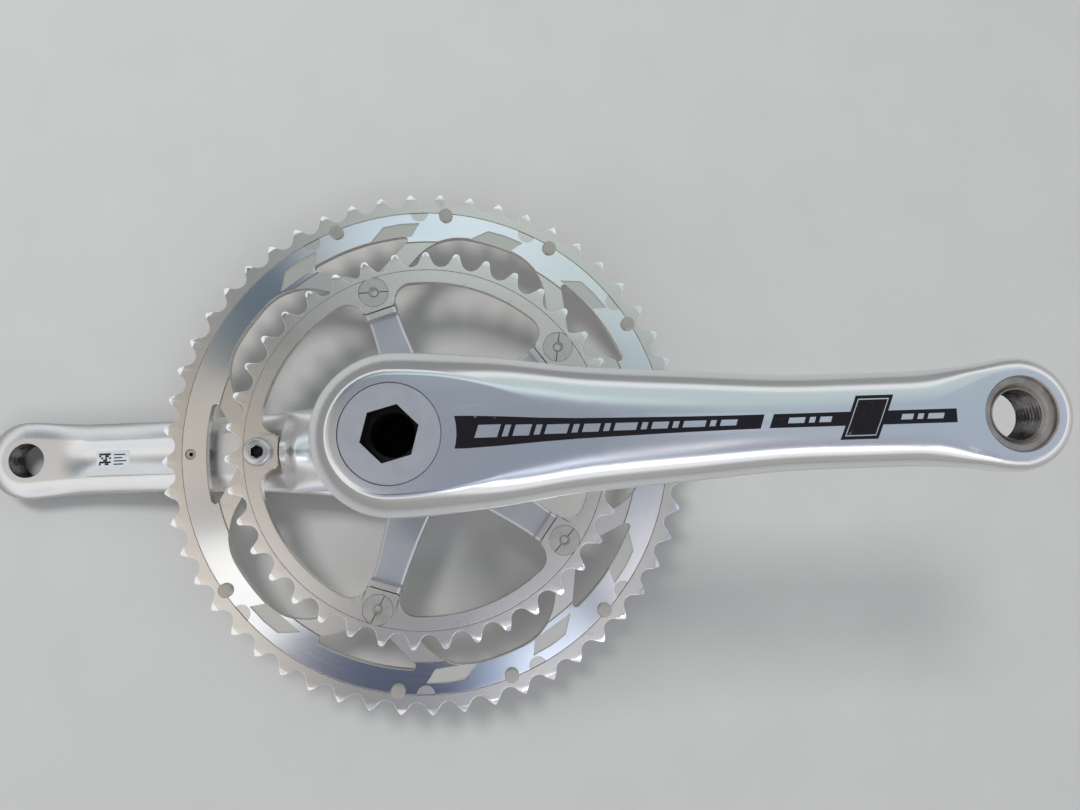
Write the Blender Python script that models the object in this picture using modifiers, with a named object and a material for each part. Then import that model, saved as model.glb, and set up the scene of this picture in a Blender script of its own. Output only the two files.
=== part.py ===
"""A road-bicycle crankset as an assembly: two crank arms, two chainrings, hollow spindle, drive bearing.

Frame: the origin is the middle of the bottom bracket, on the spindle's axis. +Z runs along the spindle
from the drive side to the left side, +X along the left crank arm, and the drive-side arm points to -X.
"""

import math

import bmesh
import bpy
from mathutils import Matrix, Vector

MM = 0.001
TURN = 2 * math.pi

# Driving dimensions
CRANK_LENGTH = 170 * MM
PEDAL_FACE_Z = 72.75 * MM
CHAINLINE = 43.65 * MM
RING_SPACING = 6.7 * MM
BOLT_CIRCLE_RADIUS = 67.5 * MM
BIG_TEETH = 53
SMALL_TEETH = 39
SPINDLE_RADIUS = 12.5 * MM
GAP = 0.3 * MM
BELOW = -80 * MM
ABOVE = 80 * MM

# Chain and teeth
CHAIN_PITCH = 12.7 * MM
SEAT_RADIUS = 3.93 * MM
TOOTH_THICKNESS = 2.1 * MM
BIG_TOOTH_Z = -CHAINLINE - RING_SPACING / 2
SMALL_TOOTH_Z = -CHAINLINE + RING_SPACING / 2
BIG_TIP_RADIUS = 108.5 * MM
SMALL_TIP_RADIUS = 81.2 * MM
BIG_TOOTH_PHASE = math.radians(4.8)
SMALL_TOOTH_PHASE = math.radians(-2.8)

# Chainrings. Widths and heights along a fixing are (tangential, radial) from the spindle's axis.
RING_BODY = 3.5 * MM
SMALL_FACE_Z = -38.5 * MM
SMALL_BACK_Z = SMALL_FACE_Z - RING_BODY
BIG_FACE_Z = -45.4 * MM
BIG_WEB_Z = -45.9 * MM
BIG_BACK_Z = -49.0 * MM
SMALL_STEP_RADIUS = 73.3 * MM
SMALL_INNER_RADIUS = 68.0 * MM
BIG_STEP_RADIUS = 100.0 * MM
BIG_WEB_RADIUS = 87.2 * MM
BIG_INNER_RADIUS = 90.3 * MM
TAB_HALF_WIDTH = 6.8 * MM
TAB_INNER_RADIUS = 59.8 * MM
TAB_FILLET = 6.8 * MM
BRANCH_FILLET = 23.5 * MM
BRANCH_ANGLE = math.radians(30)
WINDOW_APEX_RADIUS = 74.6 * MM
WINDOW_SLOPE = math.radians(28.7)
WINDOW_APEX_FILLET = 4.0 * MM
WINDOW_END_FILLET = 1.6 * MM
FIXING_ANGLES = [math.radians(angle) for angle in (36, 108, 180, 252, 324)]
ARM_FIXING = 2

# Chainring fasteners
NUT_FLANGE_RADIUS = 6.0 * MM
NUT_FLANGE = 1.3 * MM
NUT_BARREL_RADIUS = 4.7 * MM
NUT_BARREL_END_Z = -47.2 * MM
BOLT_HEAD_RADIUS = 6.0 * MM
BOLT_HEAD_TOP_Z = -47.8 * MM
BOLT_HEAD_END_Z = -49.9 * MM
BOLT_SHANK_RADIUS = 3.6 * MM
BOLT_SHANK_TOP_Z = -40.4 * MM
BOLT_SOCKET_DEPTH = 3.0 * MM
FIXING_HOLE_RADIUS = 5.0 * MM
HEX_KEY = 5.0 * MM
ARM_BOLT_FACE_Z = -36.0 * MM
ARM_BOLT_HEAD_RADIUS = 6.0 * MM
ARM_BOLT_SHANK_RADIUS = 3.7 * MM
ARM_BOLT_END_Z = -58.0 * MM

# Gear-change pins on the big ring
PIN_ANGLES = [math.radians(angle) for angle in (30.3, 57.7, 84.7, 111.9, 213.8, 261.7, 288.7, 315.5)]
PIN_CIRCLE_RADIUS = 99.0 * MM
PIN_HEAD_RADIUS = 2.9 * MM
PIN_HEAD_TOP_Z = -43.9 * MM
PIN_SHANK_RADIUS = 1.5 * MM
PIN_CHAMFER = 0.3 * MM
DROP_PIN_CIRCLE_RADIUS = 96.6 * MM
DROP_PIN_SHANK_RADIUS = 2.0 * MM
DROP_PIN_HEAD_RADIUS = 3.0 * MM
DROP_PIN_HEAD = 2.2 * MM

# Spider and drive-side hub
SHOULDER_RADIUS = TAB_INNER_RADIUS - GAP
SHOULDER_INNER_Z = -39.3 * MM
SPIDER_TAB_TOP_Z = SMALL_BACK_Z - GAP
SPIDER_TAB_BACK_Z = BIG_WEB_Z + GAP
HUB_FACE_Z = -42.2 * MM
HUB_NECK_RADIUS = 16.8 * MM

# Drive-side bearing, 25 x 37 x 7
BEARING_TOP_Z = -34.9 * MM
BEARING_BACK_Z = -41.9 * MM
BEARING_MIDDLE_Z = (BEARING_TOP_Z + BEARING_BACK_Z) / 2
BEARING_OUTER_RADIUS = 18.5 * MM
BALL_CIRCLE_RADIUS = 15.65 * MM
BALL_RADIUS = 1.8 * MM
BALL_COUNT = 14

# Left hub and its fixing bolt
LEFT_FACE_Z = 67.5 * MM
LEFT_HUB_END_Z = 44.0 * MM
BOLT_FACE_Z = 67.0 * MM
BOLT_SEAT_Z = 63.5 * MM
COUNTERBORE_RADIUS = 13.9 * MM
FIXING_FLANGE_RADIUS = 13.6 * MM
FIXING_BOLT_KEY = 14.0 * MM
FIXING_BOLT_TURN = math.radians(-15)
SPINDLE_LEFT_Z = 57.8 * MM
SPINDLE_DRIVE_Z = -62.6 * MM
SPLINE_COUNT = 8
SPLINE_DEPTH = 0.9 * MM
SPLINE_NECK_Z = 44.0 * MM

# Pedal eyes
PEDAL_HOLE_RADIUS = 7.0 * MM
PEDAL_RECESS_RADIUS = 10.1 * MM
PEDAL_RECESS_DEPTH = 1.0 * MM

# Colours as linear RGB, with roughness and metallic value
POLISHED = ((0.62, 0.63, 0.65), 0.24, 1.0)
RING_ALLOY = ((0.60, 0.61, 0.62), 0.30, 1.0)
STEEL = ((0.42, 0.42, 0.43), 0.35, 1.0)
DARK_STEEL = ((0.16, 0.16, 0.17), 0.42, 1.0)
BALL_STEEL = ((0.70, 0.71, 0.73), 0.10, 1.0)
NYLON = ((0.10, 0.22, 0.12), 0.55, 0.0)
RUBBER = ((0.02, 0.02, 0.02), 0.70, 0.0)


# ---------------------------------------------------------------- scene, collections and materials

def clear_scene():
    for obj in list(bpy.data.objects):
        bpy.data.objects.remove(obj, do_unlink=True)


def new_collection(name):
    collection = bpy.data.collections.new(name)
    bpy.context.scene.collection.children.link(collection)
    return collection


clear_scene()
PARTS = new_collection("bicycle_crankset")
CUTTERS = new_collection("cutters")


def empty_at(name, location):
    empty = bpy.data.objects.new(name, None)
    empty.location = location
    PARTS.objects.link(empty)
    return empty


def new_material(name, look):
    colour, roughness, metallic = look
    material = bpy.data.materials.new(name)
    material.use_nodes = True
    shader = material.node_tree.nodes["Principled BSDF"]
    shader.inputs["Base Color"].default_value = (*colour, 1)
    shader.inputs["Roughness"].default_value = roughness
    shader.inputs["Metallic"].default_value = metallic
    return material


def finish_part(obj, parent, look):
    """Puts a finished sub-part under its parent, with a material of its own."""
    obj.active_material = new_material(obj.name, look)
    obj.parent = parent
    return obj


def make_helper(obj):
    """Turns an object into a cutter or a blank that is only joined to another."""
    for collection in list(obj.users_collection):
        collection.objects.unlink(obj)
    CUTTERS.objects.link(obj)
    obj.hide_render = True
    obj.display_type = "WIRE"
    return obj


# ---------------------------------------------------------------- shape tools

def smooth_round_faces(mesh):
    mesh.shade_smooth()
    mesh.set_sharp_from_angle(angle=math.radians(40))


def mesh_object(name, mesh, location=(0, 0, 0), angle=0):
    obj = bpy.data.objects.new(name, mesh)
    obj.location = location
    obj.rotation_euler.z = angle
    PARTS.objects.link(obj)
    return obj


def evaluated_mesh(obj):
    bpy.context.view_layer.update()
    graph = bpy.context.evaluated_depsgraph_get()
    return bpy.data.meshes.new_from_object(obj.evaluated_get(graph))


def boolean(obj, other, operation):
    modifier = obj.modifiers.new(operation.lower(), "BOOLEAN")
    modifier.operation = operation
    modifier.solver = "EXACT"
    modifier.object = make_helper(other)
    return obj


def cut(obj, *cutters):
    for cutter in cutters:
        boolean(obj, cutter, "DIFFERENCE")
    return obj


def join(obj, *others):
    for other in others:
        boolean(obj, other, "UNION")
    return obj


def baked(obj):
    """The object's shape with its modifiers applied. The object and its helpers are removed."""
    mesh = evaluated_mesh(obj)
    name = obj.name
    for modifier in obj.modifiers:
        if modifier.type == "BOOLEAN":
            bpy.data.objects.remove(modifier.object)
    bpy.data.objects.remove(obj)
    mesh.name = name
    return mesh


def turned(name, profile, location=(0, 0, 0), steps=48, closed=False):
    """A solid of revolution about Z. The profile's (radius, height) points run down its outer side."""
    mesh = bpy.data.meshes.new(name)
    shape = bmesh.new()
    verts = [shape.verts.new((radius, 0, height)) for radius, height in profile]
    for first, second in zip(verts, verts[1:]):
        shape.edges.new((first, second))
    if closed:
        shape.edges.new((verts[-1], verts[0]))
    shape.to_mesh(mesh)
    shape.free()
    obj = mesh_object(name, mesh)
    screw = obj.modifiers.new("turn", "SCREW")
    screw.axis = "Z"
    screw.angle = TURN
    screw.steps = steps
    screw.render_steps = steps
    screw.use_merge_vertices = True
    screw.merge_threshold = 1e-6
    round_mesh = baked(obj)
    smooth_round_faces(round_mesh)
    return mesh_object(name, round_mesh, location)


def washer(name, inner, outer, low, high, location=(0, 0, 0), steps=48):
    profile = [(outer, high), (outer, low), (inner, low), (inner, high)]
    return turned(name, profile, location, steps, closed=True)


def cylinder(name, radius, low, high, location=(0, 0, 0), sides=24, angle=0):
    """A cylinder or a regular prism, standing on Z."""
    mesh = bpy.data.meshes.new(name)
    shape = bmesh.new()
    bmesh.ops.create_cone(
        shape, cap_ends=True, segments=sides, radius1=radius, radius2=radius, depth=high - low
    )
    bmesh.ops.translate(shape, verts=shape.verts, vec=(0, 0, (high + low) / 2))
    shape.to_mesh(mesh)
    shape.free()
    smooth_round_faces(mesh)
    return mesh_object(name, mesh, location, angle)


def hexagon(name, across_flats, low, high, location=(0, 0, 0), angle=0):
    corner_radius = across_flats / math.sqrt(3)
    return cylinder(name, corner_radius, low, high, location, 6, angle)


def plate(name, loops, low, high, tilt=None):
    """A flat outline, with any inner loops as holes, extruded from one height to another."""
    outline = bpy.data.curves.new(name, "CURVE")
    outline.dimensions = "2D"
    outline.fill_mode = "BOTH"
    outline.extrude = (high - low) / 2
    for loop in loops:
        spline = outline.splines.new("POLY")
        spline.points.add(len(loop) - 1)
        for point, (x, y) in zip(spline.points, loop):
            point.co = (x, y, 0, 1)
        spline.use_cyclic_u = True
    flat = bpy.data.objects.new(name, outline)
    flat.matrix_world = (tilt or Matrix()) @ Matrix.Translation((0, 0, (high + low) / 2))
    PARTS.objects.link(flat)
    mesh = evaluated_mesh(flat)
    place = flat.matrix_world.copy()
    bpy.data.objects.remove(flat)
    bpy.data.curves.remove(outline)
    shape = bmesh.new()
    shape.from_mesh(mesh)
    bmesh.ops.remove_doubles(shape, verts=shape.verts, dist=1e-6)
    bmesh.ops.recalc_face_normals(shape, faces=shape.faces)
    shape.to_mesh(mesh)
    shape.free()
    mesh.transform(place)
    return mesh_object(name, mesh)


# ---------------------------------------------------------------- outline tools

def polar(radius, angle):
    return (radius * math.cos(angle), radius * math.sin(angle))


def arc(centre, radius, start, end, steps):
    """Points on an arc, both ends included."""
    points = []
    for step in range(steps + 1):
        x, y = polar(radius, start + (end - start) * step / steps)
        points.append((centre[0] + x, centre[1] + y))
    return points


def circle(radius, steps):
    return arc((0, 0), radius, 0, TURN * (steps - 1) / steps, steps - 1)


def around_fixings(half):
    """A closed loop from half of one sector, given as (tangential, radial) points off the fixing's line."""
    sector = [(-across, out) for across, out in reversed(half)] + half
    loop = []
    for angle in FIXING_ANGLES:
        for across, out in sector:
            x = out * math.cos(angle) - across * math.sin(angle)
            y = out * math.sin(angle) + across * math.cos(angle)
            loop.append((x, y))
    return loop


def at_fixing(points, angle):
    """One closed loop of (tangential, radial) points, turned to a fixing's angle."""
    return [
        (out * math.cos(angle) - across * math.sin(angle), out * math.sin(angle) + across * math.cos(angle))
        for across, out in points
    ]


def half_band(radius, start_angle, steps):
    """The (tangential, radial) points of a band, from an angle off the fixing's line to half a sector."""
    half_sector = TURN / len(FIXING_ANGLES) / 2
    points = []
    for step in range(1, steps + 1):
        angle = start_angle + (half_sector - start_angle) * step / steps
        points.append((radius * math.sin(angle), radius * math.cos(angle)))
    return points[:-1]


def along(keys, x):
    """A smooth curve through (position, value) keys, flat at both ends."""
    if x <= keys[0][0]:
        return keys[0][1]
    if x >= keys[-1][0]:
        return keys[-1][1]
    slopes = [0.0]
    for before, here, after in zip(keys, keys[1:], keys[2:]):
        rise_before = (here[1] - before[1]) / (here[0] - before[0])
        rise_after = (after[1] - here[1]) / (after[0] - here[0])
        same_way = rise_before * rise_after > 0
        slopes.append(2 * rise_before * rise_after / (rise_before + rise_after) if same_way else 0.0)
    slopes.append(0.0)
    index = max(i for i, key in enumerate(keys) if key[0] <= x)
    (x0, y0), (x1, y1) = keys[index], keys[index + 1]
    width = x1 - x0
    t = (x - x0) / width
    return (
        y0 * (1 + 2 * t) * (1 - t) ** 2
        + slopes[index] * width * t * (1 - t) ** 2
        + y1 * t * t * (3 - 2 * t)
        + slopes[index + 1] * width * t * t * (t - 1)
    )


# ---------------------------------------------------------------- chainrings

def tooth_loop(teeth, tip_radius, tip_half_width, phase):
    """A sprocket's outline: round roller seats joined by straight flanks to flat tips."""
    pitch_radius = CHAIN_PITCH / 2 / math.sin(math.pi / teeth)
    step = TURN / teeth
    loop = []
    for tooth in range(teeth):
        tip = phase + tooth * step
        lean = tip_half_width / tip_radius
        loop.append(polar(tip_radius, tip - lean))
        loop.append(polar(tip_radius, tip + lean))
        seat = tip + step / 2
        centre = polar(pitch_radius, seat)
        for spread in (-62, 0, 62):
            x, y = polar(SEAT_RADIUS, seat + math.pi - math.radians(spread))
            loop.append((centre[0] + x, centre[1] + y))
    return loop


def toothed_band(name, teeth, tip_radius, tip_half_width, phase, inner_radius, middle_z):
    outline = tooth_loop(teeth, tip_radius, tip_half_width, phase)
    hole = circle(inner_radius, 40)
    return plate(name, [outline, hole], middle_z - TOOTH_THICKNESS / 2, middle_z + TOOTH_THICKNESS / 2)


def small_ring_inside():
    """Half a sector of the small ring's inner edge: a fixing tab, its fillet and the band."""
    centre_radius = SMALL_INNER_RADIUS - TAB_FILLET
    centre_across = TAB_HALF_WIDTH + TAB_FILLET
    centre_out = math.sqrt(centre_radius**2 - centre_across**2)
    meet = math.atan2(centre_across, centre_out)
    half = [(TAB_HALF_WIDTH, TAB_INNER_RADIUS - GAP)]
    half += arc((centre_across, centre_out), TAB_FILLET, math.radians(172), math.pi / 2 - meet, 4)
    return half + half_band(SMALL_INNER_RADIUS, meet, 4)


def big_ring_inside():
    """Half a sector of the big ring's inner edge: a fixing tab, one branch of its Y and the band."""
    centre_radius = BIG_INNER_RADIUS - BRANCH_FILLET
    centre = (centre_radius * math.sin(BRANCH_ANGLE), centre_radius * math.cos(BRANCH_ANGLE))
    start = math.pi / 2 + BRANCH_ANGLE
    begin = arc(centre, BRANCH_FILLET, start, start, 1)[0]
    elbow = begin[1] - (begin[0] - TAB_HALF_WIDTH) * math.tan(BRANCH_ANGLE)
    half = [(TAB_HALF_WIDTH, TAB_INNER_RADIUS), (TAB_HALF_WIDTH, elbow)]
    half += arc(centre, BRANCH_FILLET, start, math.pi / 2 - BRANCH_ANGLE, 4)
    return half + half_band(BIG_INNER_RADIUS, BRANCH_ANGLE, 2)


def triangle_window():
    """The pointed window outside a fixing, as (tangential, radial) points of a closed loop."""
    fillet = WINDOW_END_FILLET
    centre_radius = BIG_INNER_RADIUS - fillet
    sine = math.sin(WINDOW_SLOPE)
    cosine = math.cos(WINDOW_SLOPE)
    # The end fillet's centre lies its radius above the slanted edge and inside the band.
    base = WINDOW_APEX_RADIUS * cosine + fillet
    across = cosine * math.sqrt(centre_radius**2 - base**2) - sine * base
    out = math.sqrt(centre_radius**2 - across**2)
    radial = math.atan2(out, across)
    apex = (0, WINDOW_APEX_RADIUS + WINDOW_APEX_FILLET / cosine)
    half = arc(apex, WINDOW_APEX_FILLET, -math.pi / 2, -math.pi / 2 + WINDOW_SLOPE, 1)
    half += arc((across, out), fillet, -math.pi / 2 + WINDOW_SLOPE, radial, 2)
    lean = math.pi / 2 - radial
    half.append((BIG_INNER_RADIUS * math.sin(lean / 2), BIG_INNER_RADIUS * math.cos(lean / 2)))
    top = [(0, BIG_INNER_RADIUS)]
    return half + top + [(-x, y) for x, y in reversed(half[1:])]


def fixing_hole_cutter(name, angle, seat_z, seat_radius, open_end_z):
    """A through hole at a fixing, with a wider seat for a head or flange on the side of open_end_z."""
    outer = seat_radius + GAP
    profile = [(0, ABOVE), (FIXING_HOLE_RADIUS, ABOVE), (FIXING_HOLE_RADIUS, BELOW), (0, BELOW)]
    if open_end_z > seat_z:
        profile[:2] = [(0, ABOVE), (outer, ABOVE), (outer, seat_z), (FIXING_HOLE_RADIUS, seat_z)]
    else:
        profile[2:] = [(FIXING_HOLE_RADIUS, seat_z), (outer, seat_z), (outer, BELOW), (0, BELOW)]
    return turned(name, profile, (*polar(BOLT_CIRCLE_RADIUS, angle), 0), 12)


def small_chainring(parent):
    ring = plate(
        "small_chainring", [circle(SMALL_STEP_RADIUS, 48), around_fixings(small_ring_inside())],
        SMALL_BACK_Z, SMALL_FACE_Z,
    )
    band = toothed_band(
        "small_teeth", SMALL_TEETH, SMALL_TIP_RADIUS, 1.0 * MM, SMALL_TOOTH_PHASE, 70.3 * MM, SMALL_TOOTH_Z
    )
    join(ring, band)
    for index, angle in enumerate(FIXING_ANGLES):
        name = f"small_fixing_cut_{index}"
        if index == ARM_FIXING:
            place = (*polar(BOLT_CIRCLE_RADIUS, angle), 0)
            cut(ring, cylinder(name, FIXING_HOLE_RADIUS, BELOW, ABOVE, place, 12))
        else:
            seat = SMALL_FACE_Z - NUT_FLANGE - GAP
            cut(ring, fixing_hole_cutter(name, angle, seat, NUT_FLANGE_RADIUS, ABOVE))
    return finish_part(ring, parent, RING_ALLOY)


def big_chainring(parent):
    windows = [at_fixing(triangle_window(), angle) for angle in FIXING_ANGLES]
    ring = plate(
        "big_chainring", [circle(BIG_STEP_RADIUS, 56), around_fixings(big_ring_inside())] + windows,
        BIG_BACK_Z, BIG_FACE_Z,
    )
    band = toothed_band(
        "big_teeth", BIG_TEETH, BIG_TIP_RADIUS, 0.75 * MM, BIG_TOOTH_PHASE, 95.0 * MM, BIG_TOOTH_Z
    )
    join(ring, band)
    cut(ring, cylinder("big_web_cut", BIG_WEB_RADIUS, BIG_WEB_Z, ABOVE, sides=50))
    for index, angle in enumerate(FIXING_ANGLES):
        name = f"big_fixing_cut_{index}"
        if index == ARM_FIXING:
            place = (*polar(BOLT_CIRCLE_RADIUS, angle), 0)
            cut(ring, cylinder(name, FIXING_HOLE_RADIUS, BELOW, ABOVE, place, 12))
        else:
            cut(ring, fixing_hole_cutter(name, angle, BOLT_HEAD_TOP_Z + GAP, BOLT_HEAD_RADIUS, BELOW))
    for index, angle in enumerate(PIN_ANGLES):
        place = (*polar(PIN_CIRCLE_RADIUS, angle), 0)
        cut(ring, cylinder(f"pin_hole_{index}", PIN_SHANK_RADIUS + GAP, BELOW, ABOVE, place, 8))
    drop = (*polar(DROP_PIN_CIRCLE_RADIUS, FIXING_ANGLES[ARM_FIXING]), 0)
    cut(ring, cylinder("drop_pin_hole", DROP_PIN_SHANK_RADIUS + GAP, BELOW, ABOVE, drop, 12))
    return finish_part(ring, parent, RING_ALLOY)


# ---------------------------------------------------------------- chainring fasteners and pins

def chainring_nut(index, angle, parent):
    """A sleeve nut: a flat flange with a small driving hole, and a barrel through both rings."""
    top = SMALL_FACE_Z
    profile = [
        (2.1 * MM, top), (NUT_FLANGE_RADIUS, top), (NUT_FLANGE_RADIUS, top - NUT_FLANGE),
        (NUT_BARREL_RADIUS, top - NUT_FLANGE), (NUT_BARREL_RADIUS, NUT_BARREL_END_Z),
        (BOLT_SHANK_RADIUS + GAP, NUT_BARREL_END_Z), (BOLT_SHANK_RADIUS + GAP, top - NUT_FLANGE),
        (2.1 * MM, top - NUT_FLANGE),
    ]
    place = (*polar(BOLT_CIRCLE_RADIUS, angle), 0)
    return finish_part(turned(f"chainring_nut_{index}", profile, place, 12, closed=True), parent, STEEL)


def chainring_bolt(index, angle, parent):
    """A flat-headed bolt from the outer side, with a hexagon socket."""
    profile = [
        (0, BOLT_SHANK_TOP_Z), (BOLT_SHANK_RADIUS, BOLT_SHANK_TOP_Z), (BOLT_SHANK_RADIUS, BOLT_HEAD_TOP_Z),
        (BOLT_HEAD_RADIUS, BOLT_HEAD_TOP_Z), (BOLT_HEAD_RADIUS, BOLT_HEAD_END_Z), (0, BOLT_HEAD_END_Z),
    ]
    place = (*polar(BOLT_CIRCLE_RADIUS, angle), 0)
    bolt = turned(f"chainring_bolt_{index}", profile, place, 12)
    cut(bolt, hexagon(f"bolt_socket_{index}", HEX_KEY, BELOW, BOLT_HEAD_END_Z + BOLT_SOCKET_DEPTH, place))
    return finish_part(bolt, parent, STEEL)


def arm_bolt(parent):
    """The fifth fixing's bolt, screwed into the crank arm from the inner side."""
    under = SMALL_FACE_Z + GAP
    chamfer = 0.6 * MM
    profile = [
        (0, ARM_BOLT_FACE_Z), (ARM_BOLT_HEAD_RADIUS - chamfer, ARM_BOLT_FACE_Z),
        (ARM_BOLT_HEAD_RADIUS, ARM_BOLT_FACE_Z - chamfer), (ARM_BOLT_HEAD_RADIUS, under),
        (ARM_BOLT_SHANK_RADIUS, under), (ARM_BOLT_SHANK_RADIUS, ARM_BOLT_END_Z), (0, ARM_BOLT_END_Z),
    ]
    place = (*polar(BOLT_CIRCLE_RADIUS, FIXING_ANGLES[ARM_FIXING]), 0)
    bolt = turned("arm_bolt", profile, place, 16)
    cut(bolt, hexagon("arm_bolt_socket", HEX_KEY, ARM_BOLT_FACE_Z - BOLT_SOCKET_DEPTH, ABOVE, place))
    return finish_part(bolt, parent, STEEL)


def arm_bolt_spacer(parent):
    inner = ARM_BOLT_SHANK_RADIUS + GAP
    outer = 6.6 * MM
    place = (*polar(BOLT_CIRCLE_RADIUS, FIXING_ANGLES[ARM_FIXING]), 0)
    spacer = washer("arm_bolt_spacer", inner, outer, SPIDER_TAB_BACK_Z, SPIDER_TAB_TOP_Z, place, 14)
    return finish_part(spacer, parent, STEEL)


def shift_pin(index, angle, parent):
    """A steel rivet whose head lifts the chain to the big ring."""
    under = BIG_FACE_Z + GAP
    shank_end = BIG_BACK_Z + 0.1 * MM
    profile = [
        (0, PIN_HEAD_TOP_Z), (PIN_HEAD_RADIUS - PIN_CHAMFER, PIN_HEAD_TOP_Z),
        (PIN_HEAD_RADIUS, PIN_HEAD_TOP_Z - PIN_CHAMFER), (PIN_HEAD_RADIUS, under),
        (PIN_SHANK_RADIUS, under), (PIN_SHANK_RADIUS, shank_end), (0, shank_end),
    ]
    place = (*polar(PIN_CIRCLE_RADIUS, angle), 0)
    return finish_part(turned(f"shift_pin_{index}", profile, place, 10), parent, STEEL)


def chain_drop_pin(parent):
    """A peg on the outer side of the big ring that keeps the chain out of the gap to the arm."""
    face = BIG_FACE_Z - GAP
    head = BIG_BACK_Z - GAP
    chamfer = 0.6 * MM
    profile = [
        (0, face), (DROP_PIN_SHANK_RADIUS, face), (DROP_PIN_SHANK_RADIUS, head), (DROP_PIN_HEAD_RADIUS, head),
        (DROP_PIN_HEAD_RADIUS, head - DROP_PIN_HEAD + chamfer),
        (DROP_PIN_HEAD_RADIUS - chamfer, head - DROP_PIN_HEAD), (0, head - DROP_PIN_HEAD),
    ]
    place = (*polar(DROP_PIN_CIRCLE_RADIUS, FIXING_ANGLES[ARM_FIXING]), 0)
    return finish_part(turned("chain_drop_pin", profile, place, 12), parent, DARK_STEEL)


# ---------------------------------------------------------------- crank arms

PEDAL_END_CENTRE = CRANK_LENGTH + 0.5 * MM
HEEL_RADIUS = 2.0 * MM
CREST_POWER = 2.5
RELIEF_DEPTH = 1.6 * MM
RELIEF_HALF_WIDTH = 7.0 * MM

# Each key is (distance from the spindle's axis, value). Heights are distances from the middle of the bicycle.
LEFT_ARM = {
    "half_width": [
        (0, 22.8), (25, 21.2), (50, 17.9), (80, 15.6), (115, 13.4), (140, 13.3), (158, 14.1), (170.5, 15.8),
    ],
    "crest": [(0, 67.5), (18, 67.5), (60, 68.3), (100, 69.8), (140, 71.7), (160, 72.6), (165, 72.75)],
    "base": [(0, 48.0), (25, 49.5), (50, 52.5), (80, 55.5), (115, 58.0), (150, 59.7), (165, 60.0)],
    "edge": [(0, 7.0), (15, 7.5), (55, 13.5), (115, 11.0), (145, 10.5), (163, 4.5)],
    "shoulder": [(0, 8.5), (60, 10.5), (145, 9.0), (163, 5.0)],
    "relief": (52, 152),
}
DRIVE_ARM = {
    "half_width": [
        (0, 23.5), (25, 21.5), (50, 18.0), (68, 16.4), (90, 15.5), (107, 14.8), (142, 14.8), (157, 15.4),
        (170.5, 16.3),
    ],
    "crest": [(0, 66.5), (18, 66.5), (60, 67.5), (100, 69.3), (140, 71.6), (160, 72.6), (165, 72.75)],
    "base": [(0, 50.6), (60, 51.4), (90, 52.6), (112, 54.6), (140, 58.0), (158, 59.8), (165, 59.9)],
    "edge": [(0, 7.0), (15, 7.5), (55, 13.5), (115, 12.0), (145, 11.0), (163, 4.5)],
    "shoulder": [(0, 8.5), (60, 10.5), (145, 9.0), (163, 5.0)],
    "relief": (80, 155),
}


def arm_value(arm, name, x):
    return along(arm[name], x / MM) * MM


def arm_stations(arm, hub_steps, body_steps, pedal_steps):
    """Half of the arm's plan outline, from behind the hub to the pedal end, as (point, outward direction)."""
    hub = arm_value(arm, "half_width", 0)
    pedal = arm_value(arm, "half_width", PEDAL_END_CENTRE)
    stations = []
    for step in range(hub_steps):
        angle = math.pi - math.pi / 2 * step / hub_steps
        stations.append((Vector(polar(hub, angle)), Vector(polar(1, angle))))
    for step in range(body_steps + 1):
        x = PEDAL_END_CENTRE * step / body_steps
        width = arm_value(arm, "half_width", x)
        rise = (arm_value(arm, "half_width", x + MM) - arm_value(arm, "half_width", x - MM)) / (2 * MM)
        stations.append((Vector((x, width)), Vector((-rise, 1)).normalized()))
    for step in range(1, pedal_steps + 1):
        angle = math.pi / 2 * (1 - step / pedal_steps)
        out = Vector(polar(1, angle))
        stations.append((Vector((PEDAL_END_CENTRE, 0)) + out * pedal, out))
    return stations


def relief_at(arm, x, y):
    """Depth of the shallow channel along the arm's flat side."""
    start, end = (limit * MM for limit in arm["relief"])
    ramp = 8 * MM
    lengthwise = min(1, max(0, (x - start) / ramp), max(0, (end - x) / ramp))
    sideways = max(0, 1 - (y / RELIEF_HALF_WIDTH) ** 4)
    return RELIEF_DEPTH * lengthwise * sideways


def arm_section(arm, point, out):
    """One closed section of the arm: flat heel, rounded flanks and a crowned crest."""
    place = max(point.x, 0)
    base = arm_value(arm, "base", place)
    crest = arm_value(arm, "crest", place)
    edge = min(arm_value(arm, "edge", place), 0.85 * arm_value(arm, "half_width", place))
    shoulder = crest - arm_value(arm, "shoulder", place)
    flank = []
    for degrees in (0, 90):
        angle = math.radians(degrees)
        flank.append((HEEL_RADIUS * (1 - math.sin(angle)), base + HEEL_RADIUS * (1 - math.cos(angle))))
    for degrees in (0, 30, 60, 90):
        angle = math.radians(degrees)
        inset = edge * (1 - math.cos(angle) ** (2 / CREST_POWER))
        flank.append((inset, shoulder + (crest - shoulder) * math.sin(angle) ** (2 / CREST_POWER)))
    side = [(point - out * inset, height) for inset, height in flank]
    section = [(at.x, at.y, height) for at, height in side]
    section += [(at.x, -at.y, height) for at, height in reversed(side)]
    heel = side[0][0]
    for share in (-0.5, -0.3, 0, 0.3, 0.5):
        y = heel.y * share
        section.append((heel.x, y, base + relief_at(arm, heel.x, y)))
    return section


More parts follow.
